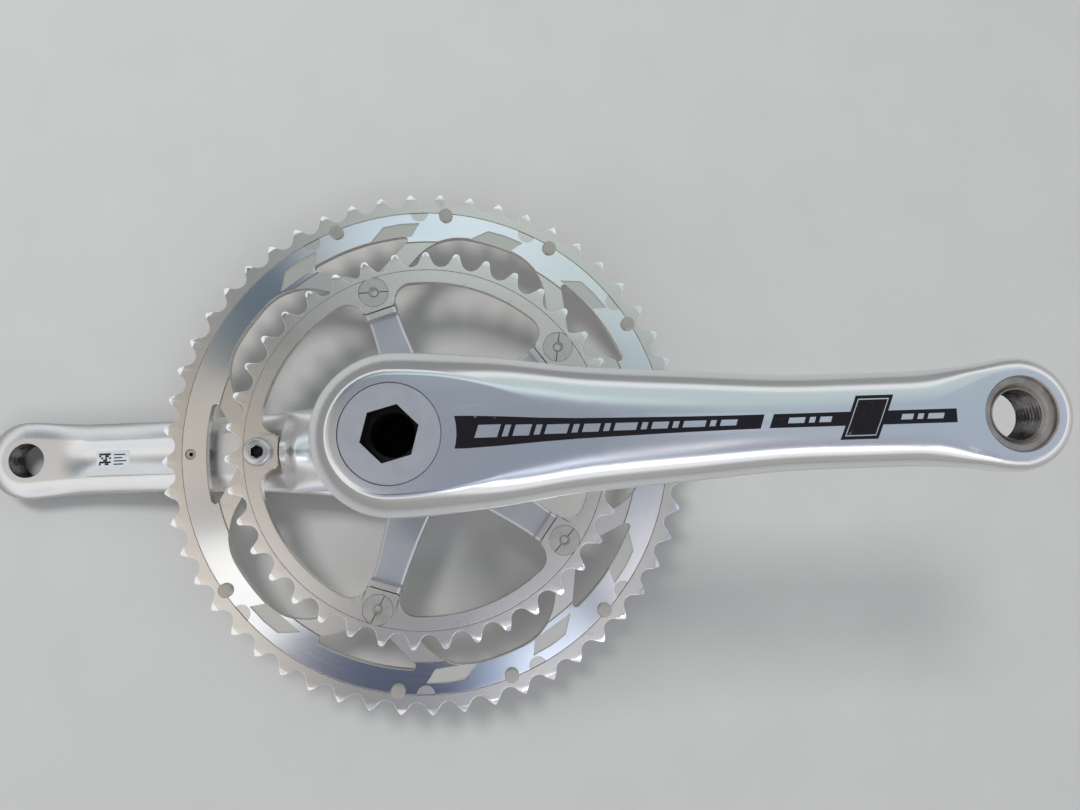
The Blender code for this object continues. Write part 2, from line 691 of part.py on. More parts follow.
def arm_solid(name, arm):
    """Lofts the arm's sections. At both ends a section closes to a line."""
    shape = bmesh.new()
    rows = []
    for point, out in arm_stations(arm, hub_steps=7, body_steps=10, pedal_steps=5):
        rows.append([shape.verts.new(corner) for corner in arm_section(arm, point, out)])
    count = len(rows[0])
    for first, second in zip(rows, rows[1:]):
        for index in range(count):
            after = (index + 1) % count
            shape.faces.new((first[index], first[after], second[after], second[index]))
    bmesh.ops.remove_doubles(shape, verts=shape.verts, dist=1e-6)
    bmesh.ops.triangulate(shape, faces=shape.faces)
    bmesh.ops.recalc_face_normals(shape, faces=shape.faces)
    mesh = bpy.data.meshes.new(name)
    shape.to_mesh(mesh)
    shape.free()
    smooth_round_faces(mesh)
    return mesh_object(name, mesh)


def pedal_eye_cutter(name):
    """A pedal hole with its chamfer and the round recess in the arm's outer face."""
    recess = PEDAL_FACE_Z - PEDAL_RECESS_DEPTH
    chamfer = 1.0 * MM
    far_end = 55 * MM
    profile = [
        (0, ABOVE), (PEDAL_RECESS_RADIUS, ABOVE), (PEDAL_RECESS_RADIUS, recess),
        (PEDAL_HOLE_RADIUS + chamfer, recess), (PEDAL_HOLE_RADIUS, recess - chamfer),
        (PEDAL_HOLE_RADIUS, far_end), (0, far_end),
    ]
    return turned(name, profile, (CRANK_LENGTH, 0, 0), 28)


def spline_loop(radius, depth):
    """The outline of the spindle's splined end."""
    loop = []
    step = TURN / SPLINE_COUNT
    for tooth in range(SPLINE_COUNT):
        for share, height in ((-0.3, radius), (0.0, radius), (0.3, radius), (0.5, radius - depth)):
            loop.append(polar(height, (tooth + share) * step))
    return loop


def left_crank_arm(parent):
    arm = arm_solid("left_crank_arm", LEFT_ARM)
    hub = [
        (0, 62 * MM), (20 * MM, 62 * MM), (20.6 * MM, LEFT_HUB_END_Z + 1 * MM),
        (19.6 * MM, LEFT_HUB_END_Z), (0, LEFT_HUB_END_Z),
    ]
    join(arm, turned("left_hub_boss", hub, steps=36))
    bolt_hole = 11.4 * MM
    counterbore = [
        (0, ABOVE), (COUNTERBORE_RADIUS, ABOVE), (COUNTERBORE_RADIUS, BOLT_SEAT_Z), (bolt_hole, BOLT_SEAT_Z),
        (bolt_hole, 50 * MM), (0, 50 * MM),
    ]
    cut(arm, turned("left_counterbore", counterbore, steps=32))
    spline_end = SPINDLE_LEFT_Z + 2 * GAP
    cut(arm, plate("left_spline_cut", [spline_loop(SPINDLE_RADIUS + GAP, SPLINE_DEPTH)], 30 * MM, spline_end))
    cut(arm, pedal_eye_cutter("left_pedal_cut"))
    return finish_part(arm, parent, POLISHED)


def spider_arm_mesh(name, half_widths, has_tab):
    """A spider arm along +X: its plan outline crossed with its side profile."""
    tip = BOLT_CIRCLE_RADIUS + TAB_HALF_WIDTH
    plan = [(out * MM, -half * MM) for out, half in half_widths]
    plan += arc((BOLT_CIRCLE_RADIUS, 0), half_widths[-1][1] * MM, -math.pi / 2, math.pi / 2, 8)
    plan += [(out * MM, half * MM) for out, half in reversed(half_widths)]
    profile = [
        (14 * MM, -46.2 * MM), (26 * MM, -45.6 * MM), (36 * MM, -43.9 * MM), (49.0 * MM, -43.5 * MM),
        (55.5 * MM, SHOULDER_INNER_Z),
        (SHOULDER_RADIUS, SHOULDER_INNER_Z), (SHOULDER_RADIUS, SPIDER_TAB_TOP_Z),
        (tip + MM, SPIDER_TAB_TOP_Z), (tip + MM, SPIDER_TAB_BACK_Z), (SHOULDER_RADIUS, SPIDER_TAB_BACK_Z),
        (SHOULDER_RADIUS, -49.6 * MM), (50 * MM, -50.6 * MM), (30 * MM, -53.0 * MM), (14 * MM, -56.5 * MM),
    ]
    if not has_tab:
        profile = profile[:6] + [(SHOULDER_RADIUS, -54 * MM), (14 * MM, -56.5 * MM)]
    arm = plate(name, [plan], BELOW, ABOVE)
    upright = Matrix.Rotation(math.pi / 2, 4, "X")
    boolean(arm, plate(name + "_side", [profile], BELOW, ABOVE, upright), "INTERSECT")
    return baked(arm)


def right_crank_arm(parent):
    """The drive-side arm with its hub and spider, forged in one piece."""
    arm = arm_solid("right_crank_arm", DRIVE_ARM)
    arm.data.transform(Matrix.Rotation(math.pi, 4, "Y"))
    hub = [
        (0, HUB_FACE_Z), (15.5 * MM, HUB_FACE_Z), (HUB_NECK_RADIUS, HUB_FACE_Z - 0.8 * MM),
        (HUB_NECK_RADIUS, -44.8 * MM), (20.5 * MM, -45.6 * MM), (23.0 * MM, -49.5 * MM),
        (22.6 * MM, -58.0 * MM), (0, -58.0 * MM),
    ]
    join(arm, turned("drive_hub", hub, steps=36))
    widths = [(16, 10.2), (26, 8.8), (40, 7.2), (55, 6.4), (67.5, 6.3)]
    spider = spider_arm_mesh("spider_arm", widths, True)
    rib = spider_arm_mesh("arm_rib", [(16, 10.2), (26, 9.8), (40, 9.4), (57, 9.0)], False)
    for index, angle in enumerate(FIXING_ANGLES):
        if index == ARM_FIXING:
            join(arm, mesh_object("arm_rib", rib, angle=angle))
        else:
            join(arm, mesh_object(f"spider_arm_{index}", spider, angle=angle))
    fifth = (*polar(BOLT_CIRCLE_RADIUS, FIXING_ANGLES[ARM_FIXING]), 0)
    join(arm, cylinder("arm_bolt_boss", 7.4 * MM, -60 * MM, BIG_BACK_Z - GAP, fifth, 16))
    thread_radius = ARM_BOLT_SHANK_RADIUS + GAP
    cut(arm, cylinder("arm_bolt_thread", thread_radius, ARM_BOLT_END_Z - 1 * MM, ABOVE, fifth, 14))
    cut(arm, cylinder("spindle_seat", SPINDLE_RADIUS + GAP, SPINDLE_DRIVE_Z - GAP, ABOVE, sides=32))
    for index, angle in enumerate(FIXING_ANGLES):
        if index != ARM_FIXING:
            place = (*polar(BOLT_CIRCLE_RADIUS, angle), 0)
            cut(arm, cylinder(f"spider_hole_{index}", FIXING_HOLE_RADIUS, -50 * MM, -40 * MM, place, 14))
    pedal = pedal_eye_cutter("right_pedal_cut")
    pedal.matrix_world = Matrix.Rotation(math.pi, 4, "Y") @ Matrix.Translation((CRANK_LENGTH, 0, 0))
    cut(arm, pedal)
    return finish_part(arm, parent, POLISHED)


# ---------------------------------------------------------------- spindle, left fixing and seals

def spindle(parent):
    """A hollow steel spindle with a splined left end and a groove for the bearing's circlip."""
    groove_top = BEARING_TOP_Z + 1.6 * MM
    groove_low = BEARING_TOP_Z + 0.2 * MM
    groove_radius = SPINDLE_RADIUS - 0.7 * MM
    bore = 9.2 * MM
    threaded_bore = 8.0 * MM
    root = SPINDLE_RADIUS - SPLINE_DEPTH - 0.4 * MM
    profile = [
        (threaded_bore, SPINDLE_LEFT_Z), (root, SPINDLE_LEFT_Z), (root, SPLINE_NECK_Z),
        (SPINDLE_RADIUS, SPLINE_NECK_Z - 1.5 * MM), (SPINDLE_RADIUS, groove_top), (groove_radius, groove_top),
        (groove_radius, groove_low), (SPINDLE_RADIUS, groove_low), (SPINDLE_RADIUS, SPINDLE_DRIVE_Z),
        (bore, SPINDLE_DRIVE_Z), (bore, 30 * MM), (threaded_bore, 32 * MM),
    ]
    shaft = turned("spindle", profile, steps=28, closed=True)
    hole = circle(9.5 * MM, 20)
    outline = spline_loop(SPINDLE_RADIUS, SPLINE_DEPTH)
    chamfer = 0.6 * MM
    join(shaft, plate("spindle_spline", [outline, hole], SPLINE_NECK_Z + chamfer, SPINDLE_LEFT_Z - chamfer))
    return finish_part(shaft, parent, STEEL)


def left_fixing_bolt(parent):
    """The large hollow-headed bolt that holds the left arm on the spindle."""
    flange = BOLT_SEAT_Z + 1.1 * MM
    chamfer = 0.6 * MM
    neck = 11.0 * MM
    thread = 7.7 * MM
    profile = [
        (0, BOLT_FACE_Z), (FIXING_FLANGE_RADIUS - chamfer, BOLT_FACE_Z),
        (FIXING_FLANGE_RADIUS, BOLT_FACE_Z - chamfer), (FIXING_FLANGE_RADIUS, flange), (neck, flange),
        (neck, SPINDLE_LEFT_Z + 3 * GAP), (thread, SPINDLE_LEFT_Z + GAP), (thread, 37 * MM), (0, 37 * MM),
    ]
    bolt = turned("left_fixing_bolt", profile, steps=28)
    socket_end = BOLT_FACE_Z - 7.0 * MM
    cut(bolt, hexagon("fixing_bolt_socket", FIXING_BOLT_KEY, socket_end, ABOVE, angle=FIXING_BOLT_TURN))
    return finish_part(bolt, parent, DARK_STEEL)


def wave_washer(parent):
    """A spring ring that takes up side play against the left bearing, with three waves."""
    inner = 13.0 * MM
    outer = 17.6 * MM
    middle = 42.6 * MM
    rise = 0.6 * MM
    thickness = 0.5 * MM
    steps = 24
    shape = bmesh.new()
    rows = []
    for step in range(steps):
        angle = TURN * step / steps
        height = middle + rise * math.cos(3 * angle)
        corners = ((inner, height), (outer, height), (outer, height + thickness), (inner, height + thickness))
        rows.append([shape.verts.new((*polar(radius, angle), z)) for radius, z in corners])
    for first, second in zip(rows, rows[1:] + rows[:1]):
        for index in range(4):
            after = (index + 1) % 4
            shape.faces.new((first[index], first[after], second[after], second[index]))
    bmesh.ops.recalc_face_normals(shape, faces=shape.faces)
    mesh = bpy.data.meshes.new("wave_washer")
    shape.to_mesh(mesh)
    shape.free()
    return finish_part(mesh_object("wave_washer", mesh), parent, STEEL)


def lipped_seal(name, low, high, outer, parent):
    """A rubber ring with a thin lip toward its outer edge."""
    inner = SPINDLE_RADIUS + GAP
    middle = (low + high) / 2
    profile = [
        (inner + 1.8 * MM, high), (outer, middle + 0.4 * MM), (outer, middle - 0.4 * MM),
        (inner + 1.8 * MM, low), (inner, low), (inner, high),
    ]
    return finish_part(turned(name, profile, steps=20, closed=True), parent, RUBBER)


def fixing_bolt_washer(parent):
    low = BOLT_SEAT_Z + GAP
    ring = washer("fixing_bolt_washer", 11.6 * MM, 13.5 * MM, low, low + 0.5 * MM, steps=28)
    return finish_part(ring, parent, STEEL)


def hub_o_ring(parent):
    """A rubber ring round the drive hub's neck."""
    section = 1.0 * MM
    centre = (HUB_NECK_RADIUS + GAP + section, -43.6 * MM)
    profile = list(reversed(arc(centre, section, 0, TURN * 5 / 6, 5)))
    return finish_part(turned("drive_o_ring", profile, steps=24, closed=True), parent, RUBBER)


# ---------------------------------------------------------------- drive-side bearing

def race_groove(wall, sign):
    """Points across a ball groove: upwards for sign 1 (outer race), downwards for -1 (inner race)."""
    radius = BALL_RADIUS + GAP
    reach = wall - BALL_CIRCLE_RADIUS
    opening = math.acos(abs(reach) / radius)
    points = []
    for share in (-1, -0.4, 0.4, 1):
        lean = opening * share
        out = BALL_CIRCLE_RADIUS + math.copysign(radius * math.cos(lean), reach)
        points.append((out, BEARING_MIDDLE_Z + sign * radius * math.sin(lean)))
    return points


def bearing_outer_race(parent):
    wall = 16.75 * MM
    outer = BEARING_OUTER_RADIUS
    profile = [(outer, BEARING_TOP_Z), (outer, BEARING_BACK_Z), (wall, BEARING_BACK_Z)]
    profile += race_groove(wall, 1) + [(wall, BEARING_TOP_Z)]
    return finish_part(turned("bearing_outer_race", profile, steps=32, closed=True), parent, STEEL)


def bearing_inner_race(parent):
    wall = 14.55 * MM
    bore = SPINDLE_RADIUS + GAP
    profile = [(bore, BEARING_BACK_Z), (bore, BEARING_TOP_Z), (wall, BEARING_TOP_Z)]
    profile += race_groove(wall, -1) + [(wall, BEARING_BACK_Z)]
    return finish_part(turned("bearing_inner_race", profile, steps=32, closed=True), parent, STEEL)


def ball_centre(index):
    return Vector((*polar(BALL_CIRCLE_RADIUS, TURN * index / BALL_COUNT), BEARING_MIDDLE_Z))


def bearing_cage(parent):
    half = 2.4 * MM
    low = BEARING_MIDDLE_Z - half
    cage = washer("bearing_cage", 15.1 * MM, 16.2 * MM, low, BEARING_MIDDLE_Z + half, steps=28)
    for index in range(BALL_COUNT):
        pocket = hexagon(f"ball_pocket_{index}", 2 * BALL_RADIUS + GAP, 12 * MM, 19 * MM)
        turn = Matrix.Rotation(TURN * index / BALL_COUNT, 4, "Z") @ Matrix.Rotation(math.pi / 2, 4, "Y")
        pocket.matrix_world = Matrix.Translation((0, 0, BEARING_MIDDLE_Z)) @ turn
        cut(cage, pocket)
    return finish_part(cage, parent, NYLON)


def bearing_balls(parent):
    mesh = bpy.data.meshes.new("bearing_ball")
    shape = bmesh.new()
    bmesh.ops.create_uvsphere(shape, u_segments=8, v_segments=6, radius=BALL_RADIUS)
    shape.to_mesh(mesh)
    shape.free()
    mesh.shade_smooth()
    mesh.materials.append(new_material("bearing_ball", BALL_STEEL))
    for index in range(BALL_COUNT):
        ball = mesh_object(f"bearing_ball_{index + 1}", mesh, ball_centre(index))
        ball.parent = parent


def bearing_seals(parent):
    inset = 0.4 * MM
    half = 0.2 * MM
    for side, middle in (("inner", BEARING_TOP_Z - inset), ("outer", BEARING_BACK_Z + inset)):
        seal = washer(f"bearing_seal_{side}", 14.9 * MM, 16.45 * MM, middle - half, middle + half, steps=24)
        finish_part(seal, parent, RUBBER)


def circlip(parent):
    """An open spring ring in the spindle's groove."""
    gap = math.radians(14)
    outline = arc((0, 0), 14.6 * MM, gap, TURN - gap, 24)
    outline += arc((0, 0), 12.1 * MM, TURN - gap, gap, 24)
    ring = plate("bearing_circlip", [outline], BEARING_TOP_Z + 0.4 * MM, BEARING_TOP_Z + 1.4 * MM)
    return finish_part(ring, parent, DARK_STEEL)


# ---------------------------------------------------------------- assembly

def build():
    spin_axis = empty_at("crank_spin_axis", (0, 0, 0))
    ball_axis = empty_at("ball_set_axis", (0, 0, 0))
    bearing_outer_race(None)
    bearing_seals(None)
    bearing_cage(ball_axis)
    bearing_balls(ball_axis)
    right_crank_arm(spin_axis)
    spindle(spin_axis)
    bearing_inner_race(spin_axis)
    circlip(spin_axis)
    hub_o_ring(spin_axis)
    big_chainring(spin_axis)
    small_chainring(spin_axis)
    number = 0
    for index, angle in enumerate(FIXING_ANGLES):
        if index == ARM_FIXING:
            continue
        number += 1
        chainring_nut(number, angle, spin_axis)
        chainring_bolt(number, angle, spin_axis)
    arm_bolt(spin_axis)
    arm_bolt_spacer(spin_axis)
    for index, angle in enumerate(PIN_ANGLES):
        shift_pin(index + 1, angle, spin_axis)
    chain_drop_pin(spin_axis)
    left_crank_arm(spin_axis)
    left_fixing_bolt(spin_axis)
    fixing_bolt_washer(spin_axis)
    wave_washer(spin_axis)
    lipped_seal("left_dust_seal", 38.6 * MM, 41.2 * MM, 18.0 * MM, spin_axis)


build()
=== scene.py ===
"""The looks of a road-bicycle crankset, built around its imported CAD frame.

Lengths are in metres. +Z runs along the spindle from the drive side to the left side, and +X along the
left crank arm. The crankset lies on its drive side, and the camera looks down on its left side.
"""

from math import asin, atan2, cos, pi, radians, sin, sqrt, tan

import bmesh
import bpy
from mathutils import Matrix, Vector
from mathutils.bvhtree import BVHTree


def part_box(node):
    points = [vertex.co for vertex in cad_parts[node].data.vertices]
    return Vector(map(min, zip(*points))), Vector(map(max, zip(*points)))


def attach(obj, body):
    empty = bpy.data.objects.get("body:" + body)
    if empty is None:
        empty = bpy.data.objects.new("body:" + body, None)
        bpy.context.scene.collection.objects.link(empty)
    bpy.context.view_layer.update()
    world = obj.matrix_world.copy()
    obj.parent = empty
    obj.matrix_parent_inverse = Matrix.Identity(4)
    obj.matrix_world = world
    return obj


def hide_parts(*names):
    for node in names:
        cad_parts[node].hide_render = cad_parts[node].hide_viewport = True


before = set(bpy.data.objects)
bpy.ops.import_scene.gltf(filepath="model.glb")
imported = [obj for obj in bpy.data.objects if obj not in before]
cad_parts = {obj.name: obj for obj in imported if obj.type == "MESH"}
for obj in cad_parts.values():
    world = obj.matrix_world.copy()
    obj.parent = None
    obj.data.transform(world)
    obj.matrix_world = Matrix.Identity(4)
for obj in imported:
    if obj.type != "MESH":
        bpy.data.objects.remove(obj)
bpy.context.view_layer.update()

MM = 0.001
TURN = 2 * pi
BELOW = -80 * MM
ABOVE = 80 * MM

# Driving dimensions, as in the CAD part
CRANK_LENGTH = 170 * MM
CHAINLINE = 43.65 * MM
RING_SPACING = 6.7 * MM
CHAIN_PITCH = 12.7 * MM
BOLT_CIRCLE_RADIUS = 67.5 * MM
BIG_TEETH = 53
SMALL_TEETH = 39
SPINDLE_RADIUS = 12.5 * MM
GAP = 0.3 * MM

# Heights read from the frame
PEDAL_FACE_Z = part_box("left_crank_arm")[1].z
FLOOR_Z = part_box("right_crank_arm")[0].z
BOLT_FACE_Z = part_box("left_fixing_bolt")[1].z
SMALL_FACE_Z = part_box("small_chainring")[1].z
SMALL_BACK_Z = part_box("small_chainring")[0].z
BIG_FACE_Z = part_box("big_chainring")[1].z
BIG_BACK_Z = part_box("big_chainring")[0].z
PIN_TOP_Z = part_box("shift_pin_1")[1].z
BEARING_TOP_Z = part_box("bearing_outer_race")[1].z
BEARING_BACK_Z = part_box("bearing_outer_race")[0].z
ARM_BOLT_TOP_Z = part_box("arm_bolt")[1].z

# Chainrings
SEAT_RADIUS = 3.93 * MM
BIG_TOOTH_Z = -CHAINLINE - RING_SPACING / 2
SMALL_TOOTH_Z = -CHAINLINE + RING_SPACING / 2
TOOTH_THICKNESS = 2.1 * MM
TOOTH_BEVEL = 0.28 * MM
TIP_DROP = 0.7 * MM
RING_BEVEL = 0.25 * MM
STEP_GROOVE = 0.35 * MM
BIG_TIP_RADIUS = 108.4 * MM
SMALL_TIP_RADIUS = 81.2 * MM
BIG_TOOTH_PHASE = radians(4.8)
SMALL_TOOTH_PHASE = radians(-2.8)
BIG_WEB_Z = BIG_FACE_Z - 0.5 * MM
SMALL_STEP_RADIUS = 73.3 * MM
SMALL_INNER_RADIUS = 68.0 * MM
BIG_STEP_RADIUS = 100.0 * MM
BIG_WEB_RADIUS = 87.2 * MM
BIG_INNER_RADIUS = 90.3 * MM
TAB_HALF_WIDTH = 6.8 * MM
TAB_INNER_RADIUS = 59.8 * MM
TAB_FILLET = 6.8 * MM
BRANCH_FILLET = 23.5 * MM
BRANCH_ANGLE = radians(30)
WINDOW_APEX_RADIUS = 74.6 * MM
WINDOW_SLOPE = radians(28.7)
WINDOW_APEX_FILLET = 4.0 * MM
WINDOW_END_FILLET = 1.6 * MM
FIXING_ANGLES = [radians(angle) for angle in (36, 108, 180, 252, 324)]
ARM_FIXING = 2
OTHER_FIXINGS = [(index, angle) for index, angle in enumerate(FIXING_ANGLES) if index != ARM_FIXING]
PIN_ANGLES = [radians(angle) for angle in (30.3, 57.7, 84.7, 111.9, 213.8, 261.7, 288.7, 315.5)]
PIN_CIRCLE_RADIUS = 99.0 * MM
DROP_PIN_CIRCLE_RADIUS = 96.6 * MM

# Fasteners
NUT_FLANGE_RADIUS = 6.0 * MM
NUT_FLANGE = 1.3 * MM
BOLT_HEAD_TOP_Z = -47.8 * MM
FIXING_HOLE_RADIUS = 5.0 * MM
HEX_KEY = 5.0 * MM
FIXING_BOLT_KEY = 14.0 * MM
FIXING_BOLT_TURN = radians(-15)
BOLT_SEAT_Z = 63.5 * MM

# Spider, hubs and pedal eyes
SHOULDER_RADIUS = TAB_INNER_RADIUS - GAP
SHOULDER_INNER_Z = -39.3 * MM
SPIDER_TAB_TOP_Z = SMALL_BACK_Z - GAP
SPIDER_TAB_BACK_Z = BIG_WEB_Z + GAP
HUB_FACE_Z = -42.2 * MM
HUB_NECK_RADIUS = 16.8 * MM
LEFT_HUB_END_Z = 44.0 * MM
PEDAL_END_CENTRE = CRANK_LENGTH + 0.5 * MM
PEDAL_RECESS_RADIUS = 10.1 * MM
THREAD_PITCH = 25.4 * MM / 20
THREAD_MINOR_RADIUS = 6.75 * MM
THREAD_MAJOR_RADIUS = 7.2 * MM

# Camera, solved from the chainrings' circles, the bolt circle and both pedal holes
CAMERA_PLACE = Vector((28.465, -10.569, 262.655)) * MM
CAMERA_LENS = 24.497
SENSOR_WIDTH = 36.0


# ---------------------------------------------------------------- procedural materials

class NodeTree:
    """Short ways to add nodes to a material's or a world's tree."""

    def __init__(self, owner, coordinates):
        owner.use_nodes = True
        self.tree = owner.node_tree
        self.place = self.node("ShaderNodeTexCoord").outputs[coordinates]

    def node(self, kind, **settings):
        made = self.tree.nodes.new(kind)
        for setting, value in settings.items():
            setattr(made, setting, value)
        return made

    def feed(self, socket, value):
        if isinstance(value, bpy.types.NodeSocket):
            self.tree.links.new(value, socket)
        else:
            socket.default_value = value

    def fed(self, kind, *values, **settings):
        """A node's first output, its inputs fed in order."""
        made = self.node(kind, **settings)
        for socket, value in zip(made.inputs, values):
            self.feed(socket, value)
        return made.outputs[0]

    def math(self, operation, first, second=0.0):
        return self.fed("ShaderNodeMath", first, second, operation=operation)

    def product(self, first, second):
        return self.math("MULTIPLY", first, second)

    def total(self, first, second):
        return self.math("ADD", first, second)

    def hypotenuse(self, across, up):
        return self.math("SQRT", self.total(self.product(across, across), self.product(up, up)))

    def noise(self, scale, detail=3.0, roughness=0.55, stretch=(1, 1, 1), place=None):
        """Noise with about `scale` features to the metre."""
        made = self.node("ShaderNodeTexNoise")
        stretched = self.fed("ShaderNodeVectorMath", place or self.place, stretch, operation="MULTIPLY")
        self.feed(made.inputs["Vector"], stretched)
        made.inputs["Scale"].default_value = scale
        made.inputs["Detail"].default_value = detail
        made.inputs["Roughness"].default_value = roughness
        return made.outputs["Fac"]

    def remap(self, value, low, high, to_low, to_high):
        return self.fed("ShaderNodeMapRange", value, low, high, to_low, to_high, clamp=True)

    def mix(self, share, first, second):
        made = self.node("ShaderNodeMix", data_type="RGBA")
        self.feed(made.inputs["Factor"], share)
        self.feed(made.inputs["A"], (*first, 1) if isinstance(first, tuple) else first)
        self.feed(made.inputs["B"], (*second, 1) if isinstance(second, tuple) else second)
        return made.outputs["Result"]

    def axes(self):
        made = self.node("ShaderNodeSeparateXYZ")
        self.feed(made.inputs[0], self.place)
        return made.outputs

    def azimuth_ramp(self, stops):
        """A colour for each direction round the vertical, from (degrees, colour) stops."""
        x, y, _ = self.axes()
        turn = self.math("FRACT", self.math("DIVIDE", self.math("ARCTAN2", y, x), TURN))
        ramp = self.node("ShaderNodeValToRGB")
        self.feed(ramp.inputs[0], turn)
        ramp.color_ramp.interpolation = "EASE"
        for element, position in zip(ramp.color_ramp.elements, (0, 1)):
            element.position = position
            element.color = (*stops[0][1], 1)
        for degrees, colour in stops[1:]:
            ramp.color_ramp.elements.new(degrees / 360).color = (*colour, 1)
        return ramp.outputs[0]


class Surface(NodeTree):
    """One node-based material."""

    def __init__(self, name, metallic, coat=0.0, coat_roughness=0.1, anisotropic=0.0, specular=0.5):
        self.material = bpy.data.materials.new(name)
        super().__init__(self.material, "Object")
        self.shader = self.tree.nodes["Principled BSDF"]
        self.shader.inputs["Metallic"].default_value = metallic
        self.shader.inputs["Coat Weight"].default_value = coat
        self.shader.inputs["Coat Roughness"].default_value = coat_roughness
        self.shader.inputs["Anisotropic"].default_value = anisotropic
        self.shader.inputs["Specular IOR Level"].default_value = specular

    def bump(self, height, depth, strength):
        """Bumps of a depth in millimetres."""
        made = self.node("ShaderNodeBump")
        made.inputs["Strength"].default_value = strength
        made.inputs["Distance"].default_value = depth * MM
        self.feed(made.inputs["Height"], height)
        self.feed(self.shader.inputs["Normal"], made.outputs[0])

    def colour(self, value):
        self.feed(self.shader.inputs["Base Color"], value)

    def roughness(self, value):
        self.feed(self.shader.inputs["Roughness"], value)

    def turned_grain(self):
        """Highlights spread across the grooves that run round the spindle's axis."""
        tangent = self.fed("ShaderNodeTangent", direction_type="RADIAL", axis="Z")
        self.feed(self.shader.inputs["Tangent"], tangent)
        self.shader.inputs["Anisotropic Rotation"].default_value = 0.25


def arm_alloy(name, low, high):
    """Bright satin aluminium under a thin clear coat, with handling marks."""
    look = Surface(name, 1.0, coat=0.2)
    grain = look.noise(5200, 2, stretch=(0.3, 1.5, 1.5))
    patches = look.noise(28)
    look.colour(look.mix(patches, (0.78, 0.79, 0.80), (0.86, 0.865, 0.865)))
    scratches = look.noise(420, 2, stretch=(0.10, 3.0, 1.0))
    marks = look.remap(scratches, 0.70, 0.76, 0.0, 0.05)
    rubbed = look.total(look.remap(patches, 0.3, 0.7, low, high), marks)
    look.roughness(look.total(rubbed, look.remap(grain, 0, 1, -0.03, 0.03)))
    look.bump(grain, 0.003, 0.5)
    return look.material


def turned_alloy():
    """The raised face of the big ring, turned and polished."""
    look = Surface("turned_alloy", 1.0, coat=0.1, coat_roughness=0.06, anisotropic=0.8)
    x, y, z = look.axes()
    radius = look.product(look.hypotenuse(x, y), 5000)
    angle = look.product(look.math("ARCTAN2", y, x), 1.6)
    rings = look.noise(1.0, 2, place=look.fed("ShaderNodeCombineXYZ", radius, angle, z))
    look.colour(look.mix(look.noise(60), (0.82, 0.83, 0.84), (0.90, 0.90, 0.90)))
    look.roughness(look.remap(rings, 0.3, 0.7, 0.13, 0.17))
    look.bump(rings, 0.004, 0.3)
    look.turned_grain()
    return look.material


def ring_satin():
    """The rings' milled faces, warm silver anodised, with a little grime in patches."""
    look = Surface("ring_satin", 1.0, coat=0.1, coat_roughness=0.2, anisotropic=0.3)
    haze = look.noise(38)
    stain = look.remap(look.noise(110, 5, 0.65), 0.60, 0.78, 0.0, 0.4)
    clean = look.mix(haze, (0.77, 0.72, 0.65), (0.82, 0.77, 0.70))
    look.colour(look.mix(stain, clean, (0.46, 0.41, 0.36)))
    look.roughness(look.total(look.remap(haze, 0.3, 0.7, 0.26, 0.29), look.product(stain, 0.2)))
    look.bump(look.noise(2600, 2), 0.001, 0.3)
    look.turned_grain()
    return look.material


def worn_eye():
    """The face round a pedal thread, rubbed into rings by the pedal's shoulder."""
    look = Surface("worn_eye", 1.0)
    x, y, _ = look.axes()
    across = look.math("SUBTRACT", look.math("ABSOLUTE", x), CRANK_LENGTH)
    rings = look.noise(1400, place=look.fed("ShaderNodeCombineXYZ", look.hypotenuse(across, y)))
    share = look.total(look.product(rings, 0.6), look.product(look.noise(260, 4), 0.4))
    look.colour(look.mix(look.remap(share, 0.35, 0.65, 0, 1), (0.25, 0.225, 0.205), (0.52, 0.48, 0.44)))
    look.roughness(look.remap(rings, 0.3, 0.7, 0.28, 0.42))
    look.bump(rings, 0.02, 0.4)
    return look.material


def printed_black():
    """Pad-printed ink with a few rubbed spots."""
    look = Surface("printed_black", 0.0, specular=0.25)
    rub = look.noise(700, 4, 0.6)
    look.colour(look.mix(look.remap(rub, 0.70, 0.76, 0.0, 0.7), (0.006, 0.005, 0.007), (0.42, 0.42, 0.43)))
    look.roughness(look.remap(rub, 0.3, 0.7, 0.3, 0.4))
    return look.material


def mottled(name, metallic, pattern, dark, light, rough, contrast=(0, 1), spread=(0.3, 0.7), grain=None,
            bump=None, **settings):
    """Colour and roughness that follow one noise, with that noise or a finer grain as the bump.

    Pattern and grain are (scale, detail, roughness) of a noise. Bump is (depth in millimetres, strength).
    """
    look = Surface(name, metallic, **settings)
    blotches = look.noise(*pattern)
    look.colour(look.mix(look.remap(blotches, *contrast, 0, 1), dark, light))
    look.roughness(look.remap(blotches, *spread, *rough))
    if bump:
        look.bump(look.noise(*grain) if grain else blotches, *bump)
    return look.material


def plated(name, dark, light, *rough):
    """Plated or ground metal, faintly worn in patches."""
    return mottled(name, 1.0, (240, 5, 0.6), dark, light, rough, grain=(3200, 2), bump=(0.008, 0.4))


ARM = arm_alloy("arm_alloy", 0.17, 0.21)
DRIVE = arm_alloy("drive_arm_alloy", 0.24, 0.30)
TURNED = turned_alloy()
SATIN = ring_satin()
EYE = worn_eye()
INK = printed_black()
STEEL = plated("plated_steel", (0.60, 0.60, 0.59), (0.74, 0.735, 0.72), 0.22, 0.32)
GROUND = plated("ground_steel", (0.55, 0.55, 0.56), (0.66, 0.66, 0.67), 0.16, 0.24)
BOLT = plated("bolt_alloy", (0.60, 0.61, 0.65), (0.68, 0.69, 0.72), 0.33, 0.42)
PIN = plated("pin_steel", (0.50, 0.46, 0.41), (0.64, 0.59, 0.53), 0.36, 0.46)
DARK = plated("dark_steel", (0.10, 0.10, 0.105), (0.17, 0.17, 0.175), 0.35, 0.5)
BALL = plated("ball_steel", (0.68, 0.69, 0.71), (0.74, 0.75, 0.77), 0.05, 0.09)
